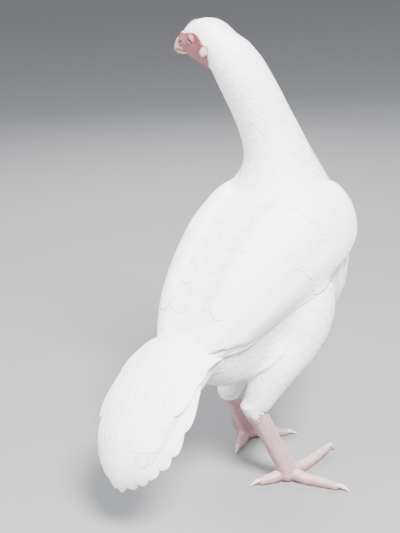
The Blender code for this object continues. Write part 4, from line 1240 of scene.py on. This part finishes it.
def coat_sizes(places):
    """Length, half width, spacing and depth of the coat at each place, smallest by face and hock."""
    far = np.linalg.norm(places - np.array(head_point(0.006, 0, -0.004)), axis=1)
    sizes = interpolate(far, COAT_FROM_FACE)
    for side in (1, -1):
        hock, joint = shank_ends(side)
        far = np.linalg.norm(places - hock - unit(joint - hock) * 0.016, axis=1)
        sizes = np.minimum(sizes, interpolate(far - 0.014, COAT_FROM_HOCK))
    return sizes


def lie_guides():
    """Where the coat points: back from the bill, down the neck, along the body and the thighs."""
    forward, _, up = head_axes()
    guides = [(head_point(f, 0, u), forward * ahead + up * rise, 0.02) for f, u, ahead, rise in HEAD_LIE]
    for k in range(12):
        t = k / 11
        here = smooth_table(NECK_STATIONS, t)[:3]
        below = smooth_table(NECK_STATIONS, t - 0.05)[:3] if k else here + np.array((0, 0.01, -0.03))
        guides.append((here, unit(below - here + 1e-9), 0.035))
    guides += [((0, y, z), unit(np.array((0, back, rise))), 0.05) for y, z, back, rise in MIDDLE_LIE]
    for side in (1, -1):
        guides += [((side * x, y, z), unit(np.array(way)), 0.04) for (x, y, z), way in SIDE_LIE]
        hock = np.array(HOCKS[side])
        hip = hock + np.array(HIP) * (side, 1, 1)
        guides += [(hock + (hip - hock) * s, unit(hock - hip), 0.03) for s in THIGH_LIE]
    return guides


def wing_lay(t, v):
    """A place on the left wing's lay, before it is laid on the body."""
    row = smooth_table(WING_STATIONS, t)
    upper, middle, lower = row[0:3], row[3:6], row[6:9]
    return middle + (upper - lower) * (0.5 * v) + (upper + lower - 2 * middle) * (0.5 * v * v), row[9]


class Wing:
    """The wing's outer face over (t, v): t from bend to tip, v from its lower to its upper edge."""

    STEPS = (61, 41)
    LOW, HIGH = -1.45, 1.15

    def __init__(self, side, coat_form):
        rows, columns = self.STEPS
        mirror = np.array((side, 1, 1))
        self.heights = self.LOW + (self.HIGH - self.LOW) * np.arange(columns) / (columns - 1)
        self.grid = self.laid_on_body()
        for _ in range(WING_SMOOTHING):
            inner = self.grid[1:-1, 1:-1]
            around = self.grid[:-2, 1:-1] + self.grid[2:, 1:-1] + self.grid[1:-1, :-2] + self.grid[1:-1, 2:]
            self.grid[1:-1, 1:-1] = inner * 0.5 + around * 0.125
        self.keep_over(coat_form, mirror)
        self.normal = unit(np.cross(np.gradient(self.grid, axis=1), np.gradient(self.grid, axis=0)))
        if self.normal[rows // 2, columns // 2, 0] < 0:
            self.normal *= -1
        self.breadth = np.linalg.norm(self.grid[:, -1] - self.grid[:, 0], axis=1) / (self.HIGH - self.LOW)
        self.grid *= mirror
        self.normal *= mirror

    def laid_on_body(self):
        """The left wing's grid, on the torso but for its free end."""
        body = Surface(*node_mesh("torso"))
        rows, columns = self.STEPS
        grid = np.zeros((rows, columns, 3))
        for i in range(rows):
            t = i / (rows - 1)
            free = ramp(t, *WING_FREE)
            for j, v in enumerate(self.heights):
                place, thick = wing_lay(t, v)
                near = body.snap(place)[0]
                normal = np.zeros(3)
                for axis in range(3):
                    for step in (-WING_PROBE, WING_PROBE):
                        beside = np.array(place)
                        beside[axis] += step
                        normal += body.snap(beside)[1]
                normal = unit(normal)
                foot = near + normal * max((place - near).dot(normal) * free, 0)
                edge = math.sqrt(max(1 - v**4, 0)) * min(1, 0.25 + 6 * t, 0.35 + 4 * (1 - t))
                grid[i, j] = foot + normal * (WING_LIFT + WING_EDGE + thick * edge)
        return grid

    def keep_over(self, coat_form, mirror):
        """Moves the lower part, from a little past the bend on, out over the coat."""
        for i in range(self.STEPS[0]):
            for j, v in enumerate(self.heights):
                near, out, _ = coat_form.snap(self.grid[i, j] * mirror)
                near, out = near * mirror, out * mirror
                rise = (self.grid[i, j] - near).dot(out)
                low = ramp(-v, 0, 0.4) * ramp(i, 0, 8)
                self.grid[i, j] += out * (max(WING_OVER_COAT - rise, 0) * low)

    def at(self, t, v):
        """The place and its normal, between the four nearest points of the grid."""
        rows, columns = self.STEPS
        i = np.clip(t, 0, 1) * (rows - 1)
        j = np.clip((v - self.LOW) / (self.HIGH - self.LOW), 0, 1) * (columns - 1)
        i0 = min(int(i), rows - 2)
        j0 = min(int(j), columns - 2)
        a, b = i - i0, j - j0
        weights = np.array((((1 - a) * (1 - b), (1 - a) * b), (a * (1 - b), a * b)))[..., None]
        cell = np.s_[i0:i0 + 2, j0:j0 + 2]
        return (weights * self.grid[cell]).sum((0, 1)), unit((weights * self.normal[cell]).sum((0, 1)))

    def per_metre(self, t):
        """How far v goes for one metre across the wing at t."""
        i = int(np.clip(t, 0, 1) * (self.STEPS[0] - 1))
        return 1 / max(self.breadth[i], 0.008)


def tail_section(t, x):
    """The tail's middle at t moved x metres aside, the way up there, and its stations' measures."""
    y, z, *measures = smooth_table(TAIL_STATIONS, t)
    before = smooth_table(TAIL_STATIONS, t - 0.03)
    after = smooth_table(TAIL_STATIONS, t + 0.03)
    up = np.cross((1, 0, 0), (0, after[0] - before[0], after[1] - before[1]))
    return np.array((TAIL_ASIDE * t * t + x, y, z)), unit(up if up[1] > 0 else -up), measures


class Tail:
    """The tail's upper face over (t, x): t from root to tip, x in metres across, left positive."""

    def at(self, t, x):
        middle, up, (half_width, rise, _, sag) = tail_section(t, x)
        fall = (TAIL_ROUND * rise + sag) / half_width**2
        return middle + up * (rise - fall * x * x), unit(up + np.array((2 * fall * x, 0, 0)))


class TailBelow:
    """The tail's lower face over the same (t, x), found on the form of the coat."""

    def __init__(self, coat_form):
        self.form = coat_form

    def at(self, t, x):
        middle, up, (_, _, under, sag) = tail_section(t, x)
        near, out, _ = self.form.snap(middle - up * (under + sag + 0.012))
        return near, unit(0.35 * out - 0.65 * up)


def unwrap(place, part):
    """Where a root goes on the flat unwrap of its region: round its axis and along it."""
    x, y, z = place
    if part in ("head", "neck"):
        middle = smooth_table(NECK_STATIONS, min(max((z - 0.33) / 0.22, 0), 1))[:3]
        return (math.atan2(y - middle[1], x - middle[0]) / math.tau + 0.5, (z - 0.30) / 0.30)
    if part == "thigh":
        hock = HOCKS[1 if x > 0 else -1]
        turn = math.atan2(y - hock.y + 0.35 * (z - hock.z), x - hock.x) / math.tau + 0.5
        return (turn * 0.48 + (0.5 if x > 0 else 0.0), (z - 0.08) / 0.22)
    along = (y * 0.86 - (z - 0.26) * 0.5 + 0.16) / 0.50
    turn = math.atan2(x, z - 0.27 + 0.55 * y) / math.tau + 0.5
    return (turn, along)


def fringe(side, coat):
    """Small feathers that end the thigh's coat round the top of the shank."""
    hock, joint = shank_ends(side)
    down = unit(joint - hock)
    across = unit(np.cross(down, (0, 0, 1.0)))
    ahead = np.cross(down, across)
    for (first, last), radii, count, half_width in FRINGE:
        for k in range(count):
            jog = RANDOM.normal(0, 1, 3)
            end = last + 0.0016 * jog[0]
            middle = (k + 0.3 * jog[1]) / count * math.tau
            grid = np.zeros((VANE_ROWS, VANE_COLUMNS, 3))
            facing = np.zeros_like(grid)
            for row, along in enumerate(VANE_ALONG):
                width = vane_width(along, FINE_TIP) * half_width
                radius = radii[0] + (radii[1] + 0.0002 * jog[2] - radii[0]) * along
                turn = (middle + VANE_ACROSS * width / radius)[:, None]
                out = np.cos(turn) * across + np.sin(turn) * ahead
                low = VANE_CAMBER * half_width * VANE_ACROSS[:, None] ** 2
                centre = hock + down * (first + (end - first) * along) + SHANK_BACK
                grid[row] = centre + out * (radius - low)
                facing[row] = out
            coat.add(grid, facing, unwrap(grid[0, VANE_COLUMNS // 2], "thigh"))


def long_feather(face, root, tip, half_width, height, sink, tilt, bend=0.0, camber=0.0006, taper=0.74):
    """A grid of a flight or tail feather or covert between two places (t, across) on a face.

    Its root sinks under the coat, one edge tilts up over the next feather, and it may bend aside.
    """
    grid = np.zeros((LONG_ROWS, LONG_COLUMNS, 3))
    facing = np.zeros_like(grid)
    for row, s in enumerate(LONG_ALONG):
        end = (max(s - taper, 0) / (1.0002 - taper)) ** 2.2
        width = half_width * min(1, 0.45 + 1.8 * s) * math.sqrt(max(1 - end, 0.0))
        t = root[0] + (tip[0] - root[0]) * s
        middle = root[1] + (tip[1] - root[1]) * s + bend * math.sin(math.pi * s)
        scale = face.per_metre(t) if isinstance(face, Wing) else 1.0
        for column in range(LONG_COLUMNS):
            c = 2 * column / (LONG_COLUMNS - 1) - 1
            place, normal = face.at(t, middle + c * width * scale)
            shaft = SHAFT_RISE if abs(c) < 0.01 else 0.0
            low = height - sink * (1 - s) ** 3 - tilt * c - camber * c * c + shaft - TIP_DIP * s**8
            grid[row, column] = place + normal * low
            facing[row, column] = normal
    return grid, facing


def wing_coat(side, coat, coat_form):
    """Every visible feather of one wing: lesser, median and greater coverts and the flights."""
    face = Wing(side, coat_form)
    for count, start, end, low, high, half_width, height, tilt in WING_TIERS:
        for k in range(count):
            share = k / (count - 1)
            jog = RANDOM.normal(0, 0.009, 4)
            across = [a + (b - a) * share for a, b in zip(low, high)]
            root = (start[0] + (start[1] - start[0]) * share + jog[0], across[0] + jog[1])
            tip = (end[0] + (end[1] - end[0]) * share + jog[2], across[1] + jog[3])
            width = half_width * (1 + RANDOM.normal(0, 0.04))
            vane = long_feather(face, root, tip, width, height + RANDOM.normal(0, 0.00005), 0.004, tilt)
            coat.add(*vane, (0.02 + 0.96 * root[0], 0.5 + 0.225 * root[1] * side))


def coverts(coat, face, rows, jogs, sink, camber, taper, flatten=0.0):
    """Rows of coverts spread over a face of the tail, those at the sides a little lower."""
    for row, (t_root, t_tip, count, spread, half_width, height) in enumerate(rows):
        for k in range(count):
            share = (k + 0.5 * (row % 2)) / (count - 0.5) * 2 - 1
            jog = RANDOM.normal(0, jogs[0], 3)
            root = (t_root + jog[0], share * spread[0])
            tip = (t_tip + jog[1] * jogs[1], share * spread[1] + jog[2])
            low = height - flatten * abs(share)
            vane = long_feather(face, root, tip, half_width, low, sink, 0.0, camber=camber, taper=taper)
            coat.add(*vane, (0.1 + 0.8 * t_root, 0.5 + 0.4 * share))


def tail_coat(coat, coat_form):
    """The tail feathers in pairs and the coverts over their roots and under them."""
    coverts(coat, TailBelow(coat_form), UNDER_COVERTS, (0.0014, 8), 0.003, 0.0010, 0.6)
    face = Tail()
    for rank, (t_root, t_tip, x_root, x_tip, half_width) in enumerate(TAIL_FEATHERS):
        for side in (1, -1):
            drop = TAIL_FEATHER_STEP * rank + (TAIL_SIDE_STEP if side > 0 else 0.0)
            vane = long_feather(
                face, (t_root, side * x_root), (t_tip, side * x_tip), half_width, -drop, 0.004, side * 0.0008,
                bend=side * 0.003, camber=0.0014, taper=0.60,
            )
            coat.add(*vane, (0.1 + 0.8 * t_root, 0.5 + side * (0.05 + 0.06 * rank)))
    coverts(coat, face, TAIL_COVERTS, (0.0012, 14), 0.004, 0.0012, 0.66, flatten=0.0010)


def new_material(name, **inputs):
    """A material, its node tree and its shader with these inputs."""
    made = bpy.data.materials.new(name)
    made.use_nodes = True
    shader = made.node_tree.nodes["Principled BSDF"]
    for key, value in inputs.items():
        shader.inputs[key.replace("_", " ")].default_value = value
    return made, made.node_tree, shader


def node(tree, kind, feeds=(), **values):
    """The outputs of a new shader node: feeds go to its inputs, as values or other outputs."""
    made = tree.nodes.new("ShaderNode" + kind)
    for key, value in values.items():
        setattr(made, key, value)
    for socket, feed in dict(feeds).items():
        if isinstance(feed, bpy.types.NodeSocket):
            tree.links.new(feed, made.inputs[socket])
        else:
            made.inputs[socket].default_value = feed
    return made.outputs


def maths(tree, operation, *feeds):
    return node(tree, "Math", enumerate(feeds), operation=operation)[0]


def spread_range(tree, value, low, high, to_low, to_high):
    limits = {"Value": value, "From Min": low, "From Max": high, "To Min": to_low, "To Max": to_high}
    return node(tree, "MapRange", limits)["Result"]


def bump(tree, shader, height, strength):
    made = node(tree, "Bump", {"Height": height, "Strength": strength, "Distance": RELIEF})
    tree.links.new(made["Normal"], shader.inputs["Normal"])


def plumage_material():
    """White feathers: faint barbs off the shaft, each vane a little lighter or darker."""
    made, tree, shader = new_material(
        "plumage", Roughness=0.62, Sheen_Weight=0.25, Sheen_Roughness=0.4, Subsurface_Weight=0.15,
        Subsurface_Radius=(0.004, 0.0036, 0.003),
    )
    vane = node(tree, "SeparateXYZ", {"Vector": node(tree, "UVMap", uv_map="vane")["UV"]})
    side = maths(tree, "ABSOLUTE", vane["X"])
    waves, slant, height = BARBS
    along = maths(tree, "MULTIPLY_ADD", side, slant, vane["Y"])
    barbs = maths(tree, "SINE", maths(tree, "MULTIPLY", along, waves))
    shaft = spread_range(tree, side, 0.0, 0.10, SHAFT_HEIGHT, 0.0)
    bump(tree, shader, maths(tree, "MULTIPLY_ADD", barbs, height, shaft), 0.25)
    place = node(tree, "TexCoord")["Object"]
    cloud = node(tree, "TexNoise", {"Vector": place, "Scale": 14.0, "Detail": 3.0})
    tint = node(tree, "Attribute", attribute_name="tint")["Fac"]
    colour = node(tree, "ValToRGB", {"Fac": maths(tree, "MULTIPLY_ADD", cloud["Fac"], 0.6, tint)})
    elements = colour["Color"].node.color_ramp.elements
    for element, position, white in zip(elements, (0.2, 1.0), (SHADED_WHITE, WHITE)):
        element.position = position
        element.color = (*white, 1)
    tree.links.new(colour["Color"], shader.inputs["Base Color"])
    return made


def tinted_material(name):
    """Skin or horn: its own tints, a fine grain in the colour and in the relief."""
    roughness, coat, subsurface, radius, grain, relief = SKINS[name]
    made, tree, shader = new_material(
        name, Roughness=roughness, Coat_Weight=coat, Coat_Roughness=0.12, Subsurface_Weight=subsurface,
        Subsurface_Radius=radius,
    )
    place = node(tree, "TexCoord")["Object"]
    speck = node(tree, "TexNoise", {"Vector": place, "Scale": grain, "Detail": 4.0})["Fac"]
    tint = node(tree, "Attribute", attribute_name="skin_colour")["Color"]
    shade = spread_range(tree, speck, 0.3, 0.7, 0.86, 1.08)
    mixed = node(tree, "VectorMath", {0: tint, "Scale": shade}, operation="SCALE")
    tree.links.new(mixed[0], shader.inputs["Base Color"])
    if relief:
        pores = node(tree, "TexVoronoi", {"Vector": place, "Scale": grain * PORES})
        bump(tree, shader, pores["Distance"], relief)
    return made


def stage_floor():
    """A plain grey floor under her feet."""
    mesh = bpy.data.meshes.new("studio_floor")
    corners = [(x * FLOOR_EDGE, y * FLOOR_EDGE, 0) for x, y in ((-1, -1), (1, -1), (1, 1), (-1, 1))]
    mesh.from_pydata(corners, [], [(0, 1, 2, 3)])
    mesh.materials.append(new_material("studio_floor", Base_Color=FLOOR_GREY, Roughness=0.85)[0])
    link(bpy.data.objects.new("studio_floor", mesh))


def lights():
    """A pale sky and the lamps, each turned to the middle of the hen."""
    world = bpy.data.worlds.new("studio")
    bpy.context.scene.world = world
    world.use_nodes = True
    background = world.node_tree.nodes["Background"]
    background.inputs["Color"].default_value = SKY
    background.inputs["Strength"].default_value = SKY_STRENGTH
    target = Vector((0, 0, LIT_HEIGHT)) + SHIFT
    for name, place, size, power, colour in LIGHTS:
        lamp = bpy.data.lights.new(name, "AREA")
        lamp.shape = "DISK"
        lamp.size = size
        lamp.energy = power
        lamp.color = colour
        obj = link(bpy.data.objects.new(name, lamp))
        obj.location = Vector(place) + SHIFT
        obj.rotation_mode = "QUATERNION"
        obj.rotation_quaternion = (target - obj.location).to_track_quat("-Z", "Y")


def camera():
    """The photo's camera, from its heading, pitch and roll."""
    data = bpy.data.cameras.new("camera")
    data.sensor_width = 36.0
    data.lens = CAMERA_LENS
    data.clip_start = 0.05
    obj = link(bpy.data.objects.new("camera", data))
    heading, pitch, roll = (math.radians(a) for a in CAMERA_TURN)
    level = math.cos(pitch)
    ahead = Vector((math.cos(heading) * level, math.sin(heading) * level, -math.sin(pitch)))
    right = Vector((math.sin(heading), -math.cos(heading), 0))
    up = right.cross(ahead)
    turned_right = right * math.cos(roll) + up * math.sin(roll)
    turned_up = up * math.cos(roll) - right * math.sin(roll)
    basis = Matrix((turned_right, turned_up, -ahead)).transposed()
    obj.matrix_world = Matrix.Translation(Vector(CAMERA_PLACE) + SHIFT) @ basis.to_4x4()
    bpy.context.scene.camera = obj


def body_coat(surface, region, white):
    """The skin under the coat and the coat's pieces, region by region."""
    local = head_frame(surface.points)
    inside, above = SKIN_FACE_FROM
    bare = (bare_depth(local[:, 0], local[:, 2]) > inside) & (surface.points[:, 2] > above)
    depth = np.where(bare, SKIN_UNDER_FACE, coat_sizes(surface.points)[:, 3] * SKIN_SHARE)
    skin = surface.points - surface.point_normals * depth[:, None]
    mesh_piece("skin", skin, surface.faces, white, FLESH)
    local = head_frame(surface.centres)
    inside, above = COAT_FACE_TO
    feathered = (bare_depth(local[:, 0], local[:, 2]) < inside) | (surface.centres[:, 2] < above)
    sizes = coat_sizes(surface.centres)
    solid = surface.thickness() > THIN
    for part in COATS:
        tip = FINE_TIP if part in ("head", "neck") else BROAD_TIP
        coat = Coat()
        for place, index in zip(*scatter(surface, (region == part) & feathered & solid, sizes[:, 2])):
            length, half_width, _, deep = sizes[index]
            longer, wider, higher, yaw = RANDOM.normal(0, 1, 4) * FEATHER_VARIES
            grid, facing = lay_feather(
                surface, place, index, length * (1 + longer), half_width * (1 + wider),
                deep * ROOT_DEPTH, (FEATHER_LIFT + higher) * half_width, yaw, tip,
            )
            if (facing * facing[0, VANE_COLUMNS // 2]).sum(-1).min() > 0:
                coat.add(grid, facing, unwrap(place, part))
        if part == "thigh":
            fringe(1, coat)
            fringe(-1, coat)
        coat.build("coat_" + part, white)


def main():
    white = plumage_material()
    surface, region = coat_surface()
    surface.set_flow(lie_guides())
    body_coat(surface, region, white)
    coat = Coat()
    tail_coat(coat, surface)
    coat.build("tail_feathers", white)
    for side in (1, -1):
        coat = Coat()
        wing_coat(side, coat, surface)
        coat.build("wing_feathers_" + SIDES[side], white)
    flesh, pale, scales, horn, glass = (tinted_material(name) for name in SKINS)
    face(flesh)
    comb(flesh)
    mandible("beak_top", BEAK_UPPER, "beak_upper", horn, 0.35, 60)
    mandible("beak_bottom", BEAK_LOWER, "beak_lower", horn, 0.6, 62)
    for side in (1, -1):
        eye(side, glass)
        lids(side, flesh)
        lobe(side, pale)
        leg(side, scales)
        claws(side, horn)
    stage_floor()
    lights()
    camera()


main()
